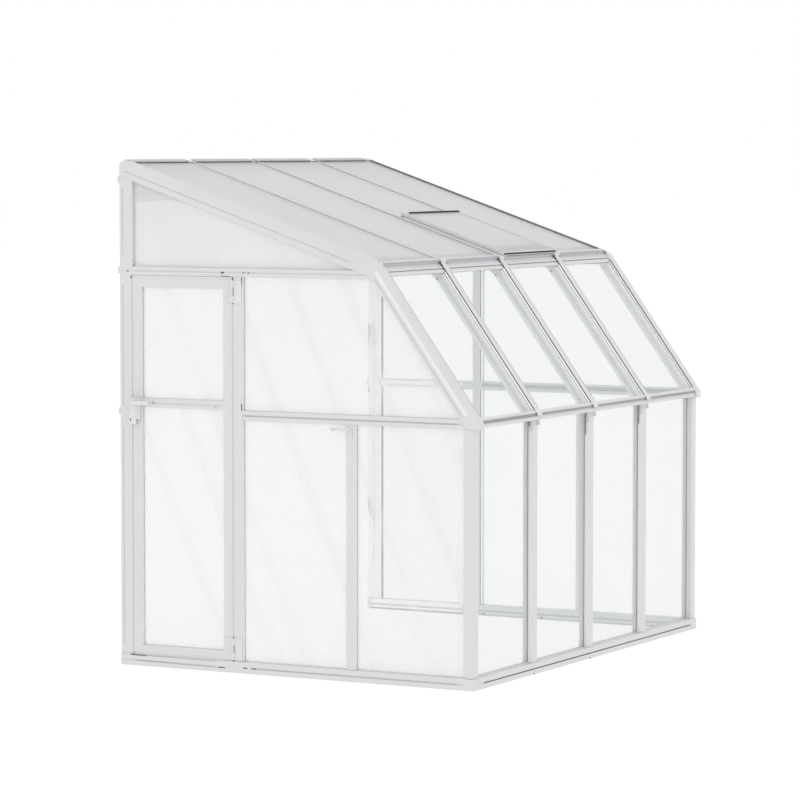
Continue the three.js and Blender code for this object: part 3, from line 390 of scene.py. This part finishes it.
# ---------------------------------------------------------------- mesh code for the small pieces
class Build:
    """collects closed solids, in the part's millimetres, and makes one piece of them"""

    def __init__(self):
        self.v, self.f = [], []

    def add(self, verts, faces):
        k = len(self.v)
        self.v += [Vector(p) for p in verts]
        self.f += [tuple(k + i for i in f) for f in faces]
        return self

    def prism(self, axis, outline, a, b):
        """outline is (y, z) for axis X, (x, z) for Y and (x, y) for Z"""
        put = {"X": lambda p, t: (t, p[0], p[1]), "Y": lambda p, t: (p[0], t, p[1]), "Z": lambda p, t: (p[0], p[1], t)}[axis]
        n = len(outline)
        verts = [put(p, a) for p in outline] + [put(p, b) for p in outline]
        faces = [tuple(range(n - 1, -1, -1)), tuple(range(n, 2 * n))]
        faces += [(i, (i + 1) % n, n + (i + 1) % n, n + i) for i in range(n)]
        return self.add(verts, faces)

    def box(self, x0, x1, y0, y1, z0, z1):
        return self.prism("Z", [(x0, y0), (x1, y0), (x1, y1), (x0, y1)], z0, z1)

    def turned(self, at, axis, profile, n=20):
        """a closed turned form: profile is (radius, height along axis) from one end of the axis to the other"""
        axis = Vector(axis).normalized()
        side = axis.orthogonal().normalized()
        other = axis.cross(side)
        at = Vector(at)
        verts, faces = [], []
        verts.append(at + axis * profile[0][1])
        for r, h in profile:
            for i in range(n):
                t = 2 * math.pi * i / n
                verts.append(at + axis * h + (side * math.cos(t) + other * math.sin(t)) * r)
        verts.append(at + axis * profile[-1][1])
        last = len(verts) - 1
        for i in range(n):
            j = (i + 1) % n
            faces.append((0, 1 + j, 1 + i))
            for k in range(len(profile) - 1):
                a, b = 1 + k * n, 1 + (k + 1) * n
                faces.append((a + i, a + j, b + j, b + i))
            e = 1 + (len(profile) - 1) * n
            faces.append((e + i, e + j, last))
        return self.add(verts, faces)

    def make(self, name, mat, body, slot, bevel=0.0, segments=2):
        me = bpy.data.meshes.new(name)
        me.from_pydata([tuple((p + SHIFT) / 1000.0) for p in self.v], [], self.f)
        bm = bmesh.new()
        bm.from_mesh(me)
        bmesh.ops.recalc_face_normals(bm, faces=bm.faces)
        bm.to_mesh(me)
        bm.free()
        me.update()
        o = bpy.data.objects.new(name, me)
        scene.collection.objects.link(o)
        me.materials.append(mat)
        if bevel > 0.0:
            b = o.modifiers.new("round", "BEVEL")
            b.width = bevel / 1000.0
            b.segments = segments
            b.limit_method = "ANGLE"
            b.angle_limit = math.radians(28.0)
        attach(o, body)
        return o


FRAMES_X = [XN, -PITCH, 0.0, PITCH, XF]


def clear_x(i):
    """the visible span of bay i between its members"""
    a = XN + END_T if i == 0 else FRAMES_X[i] + BAR_W / 2
    b = XF - END_T if i == 3 else FRAMES_X[i + 1] - BAR_W / 2
    return a, b


def knee_strip(g, x0, x1, v0, v1, u0, u1):
    g.prism("X", [K(u0, v0), K(u0, v1), K(u1, v1), K(u1, v0)], x0, x1)


def skin(points, t0, t1, sign=1.0):
    """closed outline of a thin strip that follows a line of (y, z) points, between the offsets t0 and t1 from it"""
    def off(t):
        out = []
        for i, p in enumerate(points):
            a, b = points[max(0, i - 1)], points[min(len(points) - 1, i + 1)]
            dy, dz = b[0] - a[0], b[1] - a[1]
            d = math.hypot(dy, dz)
            out.append((p[0] - sign * dz / d * t, p[1] + sign * dy / d * t))
        return out
    return off(t0) + off(t1)[::-1]


# ---- thin gaskets on the outer face of the front and knee panels: the front ones pale with a painted glow, the knee ones grey
g = Build()
for i in range(4):
    a, b = clear_x(i)
    y0, y1 = YF + GLASS_Y - 4.6, YF + GLASS_Y - 2.1
    z0, z1 = BASE_H + 0.2, SILL_Z0 - 0.2
    g.box(a + 0.1, a + 3.0, y0, y1, z0, z1)
    g.box(b - 3.0, b - 0.1, y0, y1, z0, z1)
    g.box(a + 3.1, b - 3.1, y0, y1, z0, z0 + 3.0)
g.make("front_gaskets", M_BEAD_F, "frame", "hardware")
g = Build()
g.box(XN + END_T + 3.2, XN + END_T + 5.6, YF + GLASS_Y - 4.2, YF + GLASS_Y - 2.1, BASE_H + 4.0, SILL_Z0 - 60.0)
g.make("corner_post_seal", M_DARK, "frame", "hardware")

g = Build()
for i in range(4):
    a, b = clear_x(i)
    knee_strip(g, a + 0.1, a + 3.4, -1.9, 0.6, EAVE_U + 0.3, SILL_U - 0.3)
    knee_strip(g, a + 3.5, b - 6.2, -1.9, 0.4, SILL_U - 3.5, SILL_U - 0.3)
g.make("knee_gaskets", M_GASKET, "frame", "hardware")

# ---- white beads that hold the knee panels, inside and outside, along the members' near side; their painted glow brightens the members' shaded sides
g = Build()
for i in range(4):
    a, b = clear_x(i)
    knee_strip(g, b - 4.8, b - 0.1, -1.9, 0.5, EAVE_U + 4, SILL_U - 4)
g.make("knee_beads", M_BEAD_IN, "frame", "hardware", 0.5)
g = Build()
for i in range(4):
    a, b = clear_x(i)
    knee_strip(g, b - 1.2, b - 0.1, -20.0, -6.1, EAVE_U + 4, SILL_U - 4)
g.make("knee_inner_beads", M_BEAD_IN, "frame", "hardware", 0.3)
# two raised ribs on the same side, towards the room, pale with a painted glow
g = Build()
for i in range(4):
    a, b = clear_x(i)
    knee_strip(g, b - 0.8, b - 0.1, -29.5, -20.3, EAVE_U + 8, SILL_U - 6)
    knee_strip(g, b - 0.8, b - 0.1, -60.5, -44.0, EAVE_U + 14, SILL_U - 6)
g.make("knee_side_ribs", M_BEAD_F, "frame", "hardware", 0.2)

# ---- black seals in the neck under the cap of the knee rafters and along the far verge; they also paint the shadow in the gap under the cap
g = Build()
for x in FRAMES_X[1:4]:
    knee_strip(g, x - 25.7, x - 25.1, 4.0, 8.8, 64.0, 900.0)
    knee_strip(g, x - 25.7, x - 25.1, 6.0, 9.0, 26.0, 63.9)
knee_strip(g, XF - END_T - 0.7, XF - END_T - 0.1, 5.0, 8.8, 64.0, 900.0)
g.make("knee_seals", M_DARK, "frame", "hardware")
# a glowing pale strip low in the neck: painted light over part of its shade
g = Build()
for x in FRAMES_X[1:4]:
    knee_strip(g, x - 25.6, x - 25.1, 0.6, 3.8, EAVE_U + 1.0, SILL_U - 2.0)
g.make("knee_neck_fill", M_BEAD_IN, "frame", "hardware")

# ---- seal lips on the right edge of the caps
g = Build()
for x in FRAMES_X[1:4]:
    knee_strip(g, x + 22.6, x + 24.9, 10.05, 10.5, 70.0, 898.0)
knee_strip(g, XN + END_T - 2.6, XN + END_T - 0.3, 10.05, 10.5, 70.0, 898.0)
g.make("cap_lips", M_LINE, "frame", "hardware")

# ---- rounded ridge on the near verge's gable face along the knee, in a paler white that paints its highlight
g = Build()
for x0, va, vb in ((XN - 0.45, -31.0, -13.0), (XN - 0.9, -26.5, -17.5)):
    g.prism("X", [K(34, va), K(28, vb), K(872, vb), K(866, va)], x0, XN - 0.05 if va < -30 else XN - 0.5)
g.make("verge_ridge", M_BEAD, "frame", "hardware")

# ---- roof: dark seals where the panels meet the far verge and the rafters; the one at the far verge paints the shade on the inner face of its raised edge
g = Build()
def roof_strip(g, x0, x1, v0, v1, y0, y1):
    g.prism("X", [(y0, roof_z(y0, v0)), (y0, roof_z(y0, v1)), (y1, roof_z(y1, v1)), (y1, roof_z(y1, v0))], x0, x1)
roof_strip(g, XF - FLANGE - 1.0, XF - FLANGE - 0.1, 0.2, 7.6, -448.0, 958.0)
g.make("roof_edge_seal", M_SEAL, "frame", "hardware")
g = Build()
roof_strip(g, -6.6, -3.8, -2.4, -0.3, -448.0, 958.0)
g.make("roof_joint_seal_2", M_DARK, "frame", "hardware")
g = Build()
roof_strip(g, PITCH - 6.6, PITCH - 4.6, -2.4, -0.3, -448.0, 958.0)
roof_strip(g, -PITCH - 6.6, -PITCH - 5.2, -2.4, -0.4, -448.0, 480.0)
g.make("roof_joint_seals", M_SEAL, "frame", "hardware")
g = Build()
roof_strip(g, -PITCH - 6.6, -PITCH - 4.4, -2.4, -0.3, 480.5, 958.0)
g.make("roof_joint_strip_1", M_SHADE, "frame", "hardware")

# ---- eave between the members: grey edge of the nose, blue-grey cove that darkens towards the top as painted shadow under the nose, dark line in the groove, white head bar with a painted glow
nose, cove, line, top, lip = Build(), Build(), Build(), Build(), Build()
EDGE = [(-479.0, roof_z(-479.0, 5.2)), (-479.0, 2024.9)]
COVE = [K(42.6, 4.7), K(34, 1.2), K(22, -2.8), K(13, -3.8), (-465.6, 2024.3)]
for i in range(4):
    a, b = clear_x(i)
    nose.prism("X", skin(EDGE, 0.1, 0.7, -1.0), a + 0.5, b - 0.5)
    top.prism("X", [(-451.5, roof_z(-451.5, 6.1)), (-451.5, roof_z(-451.5, 6.5)), (-471.0, roof_z(-471.0, 6.5)), (-471.0, roof_z(-471.0, 6.1))], a + 0.5, b - 0.5)
    nose.prism("X", [(-471.1, roof_z(-471.1, 6.1)), (-471.1, roof_z(-471.1, 6.5)), (-479.7, roof_z(-479.7, 6.5)), (-479.7, roof_z(-479.7, 6.1))], a + 0.5, b - 0.5)
    lip.prism("X", [K(EAVE_U + 0.1, -1.9), K(EAVE_U + 0.1, 2.9), K(EAVE_U + 1.2, 2.9), K(EAVE_U + 2.4, -1.9)], a + 0.5, b - 3.5)
    cove.prism("X", skin(COVE, 0.15, 0.9, -1.0), a + 0.5, b - 1.5)
    knee_strip(line, a + 0.5, b - 1.5, -1.9, 0.4, 51.2, 56.8)
nose.make("eave_edge", M_NOSE, "frame", "hardware")
top.make("eave_top", M_TOP, "frame", "hardware")
lip.make("eave_lip", M_BEAD_F, "frame", "hardware")
cove.make("eave_cove", M_GUTTER, "frame", "hardware")
line.make("eave_line", M_LINE, "frame", "hardware")

# ---- black ends of the gutter where it meets the members
g = Build()
for x in FRAMES_X[1:4]:
    g.box(x - 29.5, x - 25.2, -486.0, -480.0, 1997.0, 2006.0)
    g.box(x + 25.2, x + 32.0, -484.5, -479.2, 2002.0, 2018.0)
g.make("gutter_ends", M_DARK, "frame", "hardware", 0.6)

# ---- seal in the sill's groove, in two lengths, and small cleats under it at the frames
g = Build()
g.box(-671.0, XF - END_T - 0.6, -1006.6, -1003.7, 1280.8, 1286.0)
# in the first bay the seal fills the whole groove
g.prism("X", [(-1003.7, 1279.0), (-1009.9, 1276.6), (-1009.9, 1278.8), (-1005.2, 1288.7), (-1003.7, 1288.7)], XN + END_T + 0.6, -671.5)
g.make("sill_seal", M_SILL, "frame", "hardware")
g = Build()
g.prism("X", [(-1010.0, 1276.2), (-1010.6, 1276.2), (-1010.6, 1278.6), (-1010.0, 1278.6)], XN + END_T + 0.6, -671.5)
g.make("sill_seal_edge", M_SEAL, "frame", "hardware")
# a mid grey band on the sill's face: painted shade
g = Build()
g.box(XN + END_T + 0.6, XF - END_T - 0.6, -1010.6, -1010.1, 1269.0, 1276.0)
g.make("sill_shade_strip", M_SHADE, "frame", "hardware")
feet, sides, pegs = Build(), Build(), Build()
for x in FRAMES_X[1:4]:
    # the cap runs on over the sill as a thin plate with a rounded end
    ub = [908.0, 925.0, 934.0, 938.0]
    feet.prism("X", [K(897.0, 6.9), K(897.0, 10.4), K(ub[1], 10.6), K(ub[2], 9.6), K(ub[3], 7.0), K(ub[2], 6.9)], x - 24.8, x + 24.8)
    sides.prism("X", [K(897.0, 7.0), K(897.0, 10.0), K(925.0, 10.0), K(931.0, 7.6)], x - 25.5, x - 24.9)
    pegs.turned((x + 13.0, -1002.0, 1231.0), (0, 0, 1), [(0.3, 0.0), (5.6, 0.0), (6.4, 1.2), (6.4, 8.0), (4.0, 9.6), (4.0, 23.8), (0.3, 23.8)], 18)
feet.make("rafter_cap_feet", M_CONN, "frame", "hardware", 0.6)
sides.make("rafter_foot_seals", M_DARK, "frame", "hardware")
pegs.make("sill_pegs", M_GASKET, "frame", "hardware", 0.3)

# ---- roof vent: black seal on the lower edge, dark lines along the upper edge and down the left side
g = Build()
g.prism("X", [R(VENT_S1 + 0.1, 14.5), R(VENT_S1 + 0.1, 24.0), R(VENT_S1 + 0.8, 24.0), R(VENT_S1 + 0.8, 14.5)], VENT_X0 + 2.0, VENT_X1 - 2.0)
g.make("vent_lower_seal", M_DARK, "vent", "hardware")
g = Build()
g.prism("X", [R(VENT_S0 + 3.0, 27.1), R(VENT_S0 + 3.0, 32.6), R(VENT_S0 + 13.0, 32.6), R(VENT_S0 + 13.0, 27.1)], VENT_X0 + 52.0, VENT_X1 - 0.5)
g.make("vent_upper_line", M_DARK, "vent", "hardware")
# a dark line low on the sash's left side: painted shadow of the gap under it
g = Build()
for x0, x1 in ((VENT_X0 - 0.7, VENT_X0 - 0.1),):
    g.prism("X", [R(VENT_S0 + 4, 10.0), R(VENT_S0 + 4, 12.2), R(VENT_S1 - 2, 12.2), R(VENT_S1 - 2, 10.0)], x0, x1)
g.make("vent_side_lines", M_SEAL, "vent", "hardware")
# a pale glowing strip fills the rest of that gap: painted light where it would be in shade
g = Build()
g.prism("X", [R(VENT_S0 + 6, 0.6), R(VENT_S0 + 6, 9.0), R(VENT_S1 - 4, 9.0), R(VENT_S1 - 4, 0.6)], VENT_X0 - 1.2, VENT_X0 + 1.8)
g.make("vent_side_bead", M_BEAD_F, "frame", "hardware")

# ---- capping strips along the wall, in four lengths, each with a dark strip under its front edge that paints the shadow under the cap
caps, seals = Build(), Build()
for a, b in ((-1256.0, -697.0), (-632.0, -60.0), (-22.0, 560.0), (630.0, 1190.0)):
    y0 = CAP_Y - 2.0
    caps.prism("X", [(y0, roof_z(y0, 3.2)), (y0, roof_z(y0, 8.6)), (YW - 0.5, roof_z(YW - 0.5, 8.2)), (YW - 0.5, roof_z(YW - 0.5, 6.4)), (CAP_Y - 0.3, roof_z(CAP_Y - 0.3, 6.4)), (CAP_Y - 0.3, roof_z(CAP_Y - 0.3, 3.2))], a, b)
    seals.prism("X", [(y0, roof_z(y0, 0.4)), (y0, roof_z(y0, 3.1)), (CAP_Y - 0.3, roof_z(CAP_Y - 0.3, 3.1)), (CAP_Y - 0.3, roof_z(CAP_Y - 0.3, 0.4))], a + 2, b - 2)
caps.make("wall_capping_strips", M_CAP, "frame", "hardware", 0.5)
seals.make("wall_capping_shadow_strips", M_DARK, "frame", "hardware")

# ---- far gable, inner side: dark seals along the uprights' edges towards the front
g = Build()
for y, z0, z1 in ((MID_POST_Y0, 1299.0, 1953.0), (MID_POST_Y0, 60.0, 1248.0), (STUD_Y0, 60.0, 1248.0)):
    g.box(XF - GABLE_T - 0.9, XF - GABLE_T - 0.1, y - 1.6, y + 3.2, z0, z1)
g.box(XF - GABLE_T + 0.5, XF - GLASS_X - 2.2, 905.0, 908.9, 60.0, 1953.0)
g.make("far_gable_seals", M_DARK, "frame", "hardware")
# pale glowing beads beside them: painted light on the uprights' shaded sides
g = Build()
for y, z0, z1 in ((MID_POST_Y0, 1299.0, 1953.0), (MID_POST_Y0, 60.0, 1248.0), (STUD_Y0, 60.0, 1248.0)):
    g.box(XF - GABLE_T + 0.4, XF - GLASS_X - 2.2, y - 1.0, y - 0.1, z0, z1)
g.box(XF - GABLE_T + 0.4, XF - GLASS_X - 2.2, 909.0, 920.9, 60.0, 1953.0)
g.make("far_gable_beads", M_BEAD_IN, "frame", "hardware")
# the far wall post's inner side: pale cover strip with a painted glow that brightens this shaded side, a fine line down
# it, and small dark clips
g = Build()
g.box(XF - GABLE_T - 1.0, XF - GABLE_T - 0.1, 925.0, 989.0, 60.0, 1953.0)
g.box(XF - GABLE_T - 1.0, XF - GABLE_T - 0.1, 396.0, 902.0, 1252.0, 1296.0)
g.box(XF - END_T - 0.7, XF - END_T - 0.1, 396.0, 968.0, 33.0, 55.5)
g.box(XF - END_T - 0.7, XF - END_T - 0.1, 396.0, 968.0, 9.0, 21.5)
g.make("far_bay_covers", M_COVER, "frame", "hardware")
g = Build()
g.box(XF - GABLE_T - 1.5, XF - GABLE_T - 1.05, 951.5, 955.0, 250.0, 1690.0)
for z in (1262.0, 1290.0):
    g.box(XF - GABLE_T - 1.5, XF - GABLE_T - 1.05, 397.0, 901.0, z, z + 4.0)
g.make("far_post_line", M_CAP, "frame", "hardware")
g = Build()
for y0, y1, z0, z1 in ((982.0, 989.0, 1487.0, 1600.0), (949.5, 956.5, 1477.0, 1584.0), (981.0, 989.0, 1218.0, 1240.0), (982.0, 989.0, 542.0, 627.0), (949.5, 956.5, 498.0, 611.0)):
    g.box(XF - GABLE_T - 2.2, XF - GABLE_T - 1.6, y0, y1, z0, z1)
g.make("far_post_clips", M_DARK, "frame", "hardware")

# ---- painted shade in the corners where the sides of the knee rafters run in under the head bar
g = Build()
for x in FRAMES_X[1:4]:
    knee_strip(g, x - 26.0, x - 25.1, -61.0, -49.0, 72.6, 79.0)
g.make("knee_corner_painted_shade", M_DARK, "frame", "hardware")

# ---- small dark slots, seal ends and screw heads of the near gable's connectors
g = Build()
X1, X0 = XN - 0.05, XN - 0.75
for y0, y1, z0, z1 in (
        (936.0, 950.0, 1973.0, 1977.0), (921.0, 926.0, 1938.0, 1952.0),
        (352.0, 403.0, 1956.2, 1959.0), (389.0, 401.0, 1970.0, 1979.0),
        (272.0, 278.0, 1973.0, 1978.0), (244.0, 250.0, 1973.0, 1978.0)):
    g.box(X0, X1, y0, y1, z0, z1)
for z0, z1 in ((1912.0, 1953.0),):
    g.box(X0, X1, 283.6, 287.2, z0, z1)
g.box(X0, X1, 285.0, 289.5, 1299.0, 1333.0)
g.make("near_gable_slots", M_DARK, "frame", "hardware")
g = Build()
BX = XN - BASE_LIP
for y0, y1, z0, z1 in ((384.0, 424.0, 20.8, 25.2), (255.0, 281.0, 25.8, 30.2), (206.0, 234.0, 25.2, 28.8)):
    g.box(BX - 0.7, BX - 0.05, y0, y1, z0, z1)
g.make("near_base_slots", M_DARK, "frame", "hardware")
# grey lines in the grooves of the near base and mid rail: painted shade of the grooves
g = Build()
g.box(BX - 0.6, BX - 0.05, -905.0, 196.0, 24.6, 30.2)
g.box(XN - 0.6, XN - 0.05, -905.0, 272.0, 1272.4, 1276.6)
g.make("near_groove_lines", M_CAP, "frame", "hardware")
# two small dark marks at the foot of the front base, under two of the posts
g = Build()
FY = YF - BASE_LIP
g.box(-672.0, -655.0, FY - 0.7, FY - 0.05, 1.0, 5.0)
g.box(-30.0, -12.0, FY - 0.7, FY - 0.05, 1.0, 5.0)
g.make("front_base_dark_marks", M_DARK, "frame", "hardware")
# near-black line in the front base's groove: painted shade of the groove
g = Build()
g.box(-1205.0, 1239.0, FY - 0.7, FY - 0.05, 25.0, 29.4)
g.make("front_base_line", M_BASE_LINE, "frame", "hardware")
# the same profiles seen from inside, on the far gable's base and mid rail: grey and near-black lines that paint shade
# in their grooves and low along the base
g = Build()
g.box(XF - END_T - 0.9, XF - END_T - 0.1, -930.0, 985.0, 22.5, 31.5)
g.box(XF - END_T - 0.9, XF - END_T - 0.1, -930.0, 985.0, 1.0, 7.5)
g.box(XF - GABLE_T - 0.8, XF - GABLE_T - 0.1, -925.0, 275.0, 1275.0, 1288.0)
g.make("far_inner_lines", M_CAP, "frame", "hardware")
g = Build()
g.box(XF - GABLE_T - 0.8, XF - GABLE_T - 0.1, -925.0, 275.0, 1270.2, 1272.4)
for y in (-105.0, 250.0):
    g.box(XF - END_T - 1.6, XF - END_T - 0.95, y, y + 12.0, 4.0, 14.0)
g.box(XF - END_T - 1.6, XF - END_T - 0.95, 388.0, 969.0, 0.5, 8.5)
g.make("far_inner_dark_lines", M_DARK, "frame", "hardware")
g = Build()
for (ya, za), (yb, zb) in (((841.0, 55.0), (437.0, 52.6)), ((904.0, 27.0), (431.0, 23.0))):
    g.prism("X", [(ya, za), (ya, za - 2.2), (yb, zb - 2.2), (yb, zb)], BX - 0.6, BX - 0.05)
g.make("threshold_lines", M_LINE, "frame", "hardware")
g = Build()
g.prism("X", [(934.0, 57.0), (934.0, 50.6), (842.0, 50.0), (842.0, 56.4)], BX - 0.6, BX - 0.05)
g.make("threshold_seal_end", M_SEAL, "frame", "hardware")

# ---- black ends of the seals beside the front posts' heads
g = Build()
for x0, x1, z0, z1 in ((-673.4, -671.2, 1222.0, 1248.0), (-28.4, -26.2, 1141.0, 1250.0), (616.6, 618.8, 1153.0, 1250.0)):
    g.box(x0, x1, YF + GLASS_Y - 8.0, YF + GLASS_Y - 4.7, z0, z1)
g.make("front_post_seal_ends", M_DARK, "frame", "hardware")

# ---- pale beads on the sides of the uprights that face the front: gable panels, door panels, front panels; their paler tone and painted glow light up the edges of the glass
g = Build()
BX0, BX1 = XN + 0.4, XN + GLASS_X - 2.2
for y, z0, z1 in ((921.0, 1998.0, 2424.0), (MID_POST_Y0, 1299.0, 1953.0), (MID_POST_Y0, 59.0, 1249.0), (STUD_Y0, 59.0, 1249.0)):
    g.box(BX0, BX1 - 3.0, y - 1.0, y - 0.1, z0, z1)
g.make("gable_beads", M_BEAD_F, "frame", "hardware")
g = Build()
for y, z0, z1 in ((MID_POST_Y0, 1299.0, 1953.0), (MID_POST_Y0, 59.0, 1249.0), (STUD_Y0, 59.0, 1249.0)):
    g.box(XN + GLASS_X + 2.3, XN + GABLE_T - 0.6, y - 1.0, y - 0.1, z0, z1)
g.make("gable_inner_beads", M_BEAD_IN, "frame", "hardware")
g = Build()
for z0, z1 in ((107.0, 1297.0), (1344.0, 1894.0)):
    g.box(XN + 5.0, XN + 17.0, 865.0, 865.9, z0, z1)
g.make("door_beads", M_BEAD_F, "door", "hardware")
g = Build()
for z0, z1 in ((107.0, 1297.0), (1344.0, 1894.0)):
    g.box(XN + 25.0, XN + 40.4, 865.0, 865.9, z0, z1)
g.make("door_inner_beads", M_BEAD_IN, "door", "hardware")
g = Build()
for x in FRAMES_X[1:4]:
    g.box(x - 25.9, x - 25.1, YF + 0.6, YF + GLASS_Y - 5.0, BASE_H + 1.0, SILL_Z0 - 52.0)
g.make("front_post_beads", M_BEAD_F, "frame", "hardware")

# ---- weather strips that close the gaps round the door
g = Build()
g.box(XN + 3.4, XN + 34.0, 345.0, 919.4, 1945.1, 1953.4)
g.box(XN + 1.6, XN + 20.0, 916.1, 919.8, 64.0, 1236.0)
g.box(XN + 1.6, XN + 20.0, 916.1, 919.8, 1346.5, 1945.0)
g.box(XN + 1.0, XN + 34.0, 346.0, 915.0, 57.4, 61.9)
g.make("door_weather_strips", M_CONN, "door", "hardware", 0.4)
# a mid grey strip beside the hinges: painted shade
g = Build()
g.box(XN + 1.2, XN + 32.0, 333.2, 342.2, 176.0, 1822.0)
g.make("hinge_side_strip", M_SHADE, "frame", "hardware", 0.4)

# ---- door: plate of the lock and the lever, a line and screw heads on the cross rail, keyhole
g = Build()
g.box(XN - 15.8, XN - 15.1, 889.0, 928.0, 1210.0, 1304.0)
g.make("lock_plate", M_CONN, "door", "hardware", 0.3)
g = Build()
g.box(XN + 2.3, XN + 2.95, 402.0, 858.0, 1316.0, 1321.0)
g.make("door_rail_line", M_GASKET, "door", "hardware")
g = Build()
g.box(XN + 2.2, XN + 2.95, 436.0, 441.0, 1309.0, 1315.0)
g.box(XN - 0.7, XN + 2.95, 795.0, 802.0, 1318.0, 1324.0)
g.make("door_rail_screws", M_SCREW, "door", "hardware")
g = Build()
g.turned((XN - 16.6, 921.0, 1236.0), (1, 0, 0), [(0.2, 0.0), (3.6, 0.0), (3.6, 0.7), (0.2, 0.7)], 20)
g.box(XN - 16.6, XN - 15.9, 919.6, 922.4, 1226.5, 1232.2)
g.make("keyhole", M_DARK, "door", "hardware")
# ---------------------------------------------------------------- stage, light and camera
floor_me = bpy.data.meshes.new("floor")
floor_me.from_pydata([(-60, -60, 0), (60, -60, 0), (60, 60, 0), (-60, 60, 0)], [], [(0, 1, 2, 3)])
floor = bpy.data.objects.new("floor", floor_me)
scene.collection.objects.link(floor)
fm, fnt, fout = new_mat("pale_floor")
fb = node(fnt, "ShaderNodeBsdfDiffuse")
fco = node(fnt, "ShaderNodeTexCoord").outputs["Object"]
fnt.links.new(ramp(fnt, noise(fnt, fco, 1.5, 3.0), [(0.3, (0.25, 0.25, 0.25)), (0.7, (0.26, 0.26, 0.26))]), fb.inputs["Color"])
# the sweep is lit evenly from below as well, so that it reads as one white ground without a horizon
fe = node(fnt, "ShaderNodeEmission")
fe.inputs["Strength"].default_value = 0.80
fa = node(fnt, "ShaderNodeAddShader")
fnt.links.new(fb.outputs[0], fa.inputs[0])
fnt.links.new(fe.outputs[0], fa.inputs[1])
fnt.links.new(fa.outputs[0], fout.inputs["Surface"])
floor_me.materials.append(fm)

world = bpy.data.worlds.new("studio")
scene.world = world
world.use_nodes = True
world.node_tree.nodes["Background"].inputs["Color"].default_value = (1.0, 1.0, 1.0, 1.0)
world.node_tree.nodes["Background"].inputs["Strength"].default_value = 1.0


def lamp(name, at, aim, size, power):
    d = bpy.data.lights.new(name, "AREA")
    d.shape = "SQUARE"
    d.size = size
    d.energy = power
    o = bpy.data.objects.new(name, d)
    scene.collection.objects.link(o)
    o.location = at
    o.rotation_euler = (Vector(aim) - Vector(at)).to_track_quat("-Z", "Y").to_euler()
    return o


lamp("key", (-9.0, -2.5, 4.0), (0.0, 0.0, 1.2), 5.0, 30.0)

cam = bpy.data.cameras.new("camera")
cam.sensor_width = 36.0
cam.lens = 167.35
cam.clip_end = 200.0
camera = bpy.data.objects.new("camera", cam)
scene.collection.objects.link(camera)
back = Vector((-0.8792, -0.4714, 0.0687)).normalized()
right = Vector((0.4726, -0.8813, 0.0)).normalized()
up = back.cross(right).normalized()
place = Vector((-16.989 + 0.02775, -9.001 + 0.006, 2.606))
camera.matrix_world = Matrix((
    (right.x, up.x, back.x, place.x),
    (right.y, up.y, back.y, place.y),
    (right.z, up.z, back.z, place.z),
    (0.0, 0.0, 0.0, 1.0)))
scene.camera = camera
scene.view_settings.view_transform = "Standard"
scene.view_settings.look = "None"
scene.cycles.transparent_max_bounces = 40
scene.cycles.max_bounces = 8
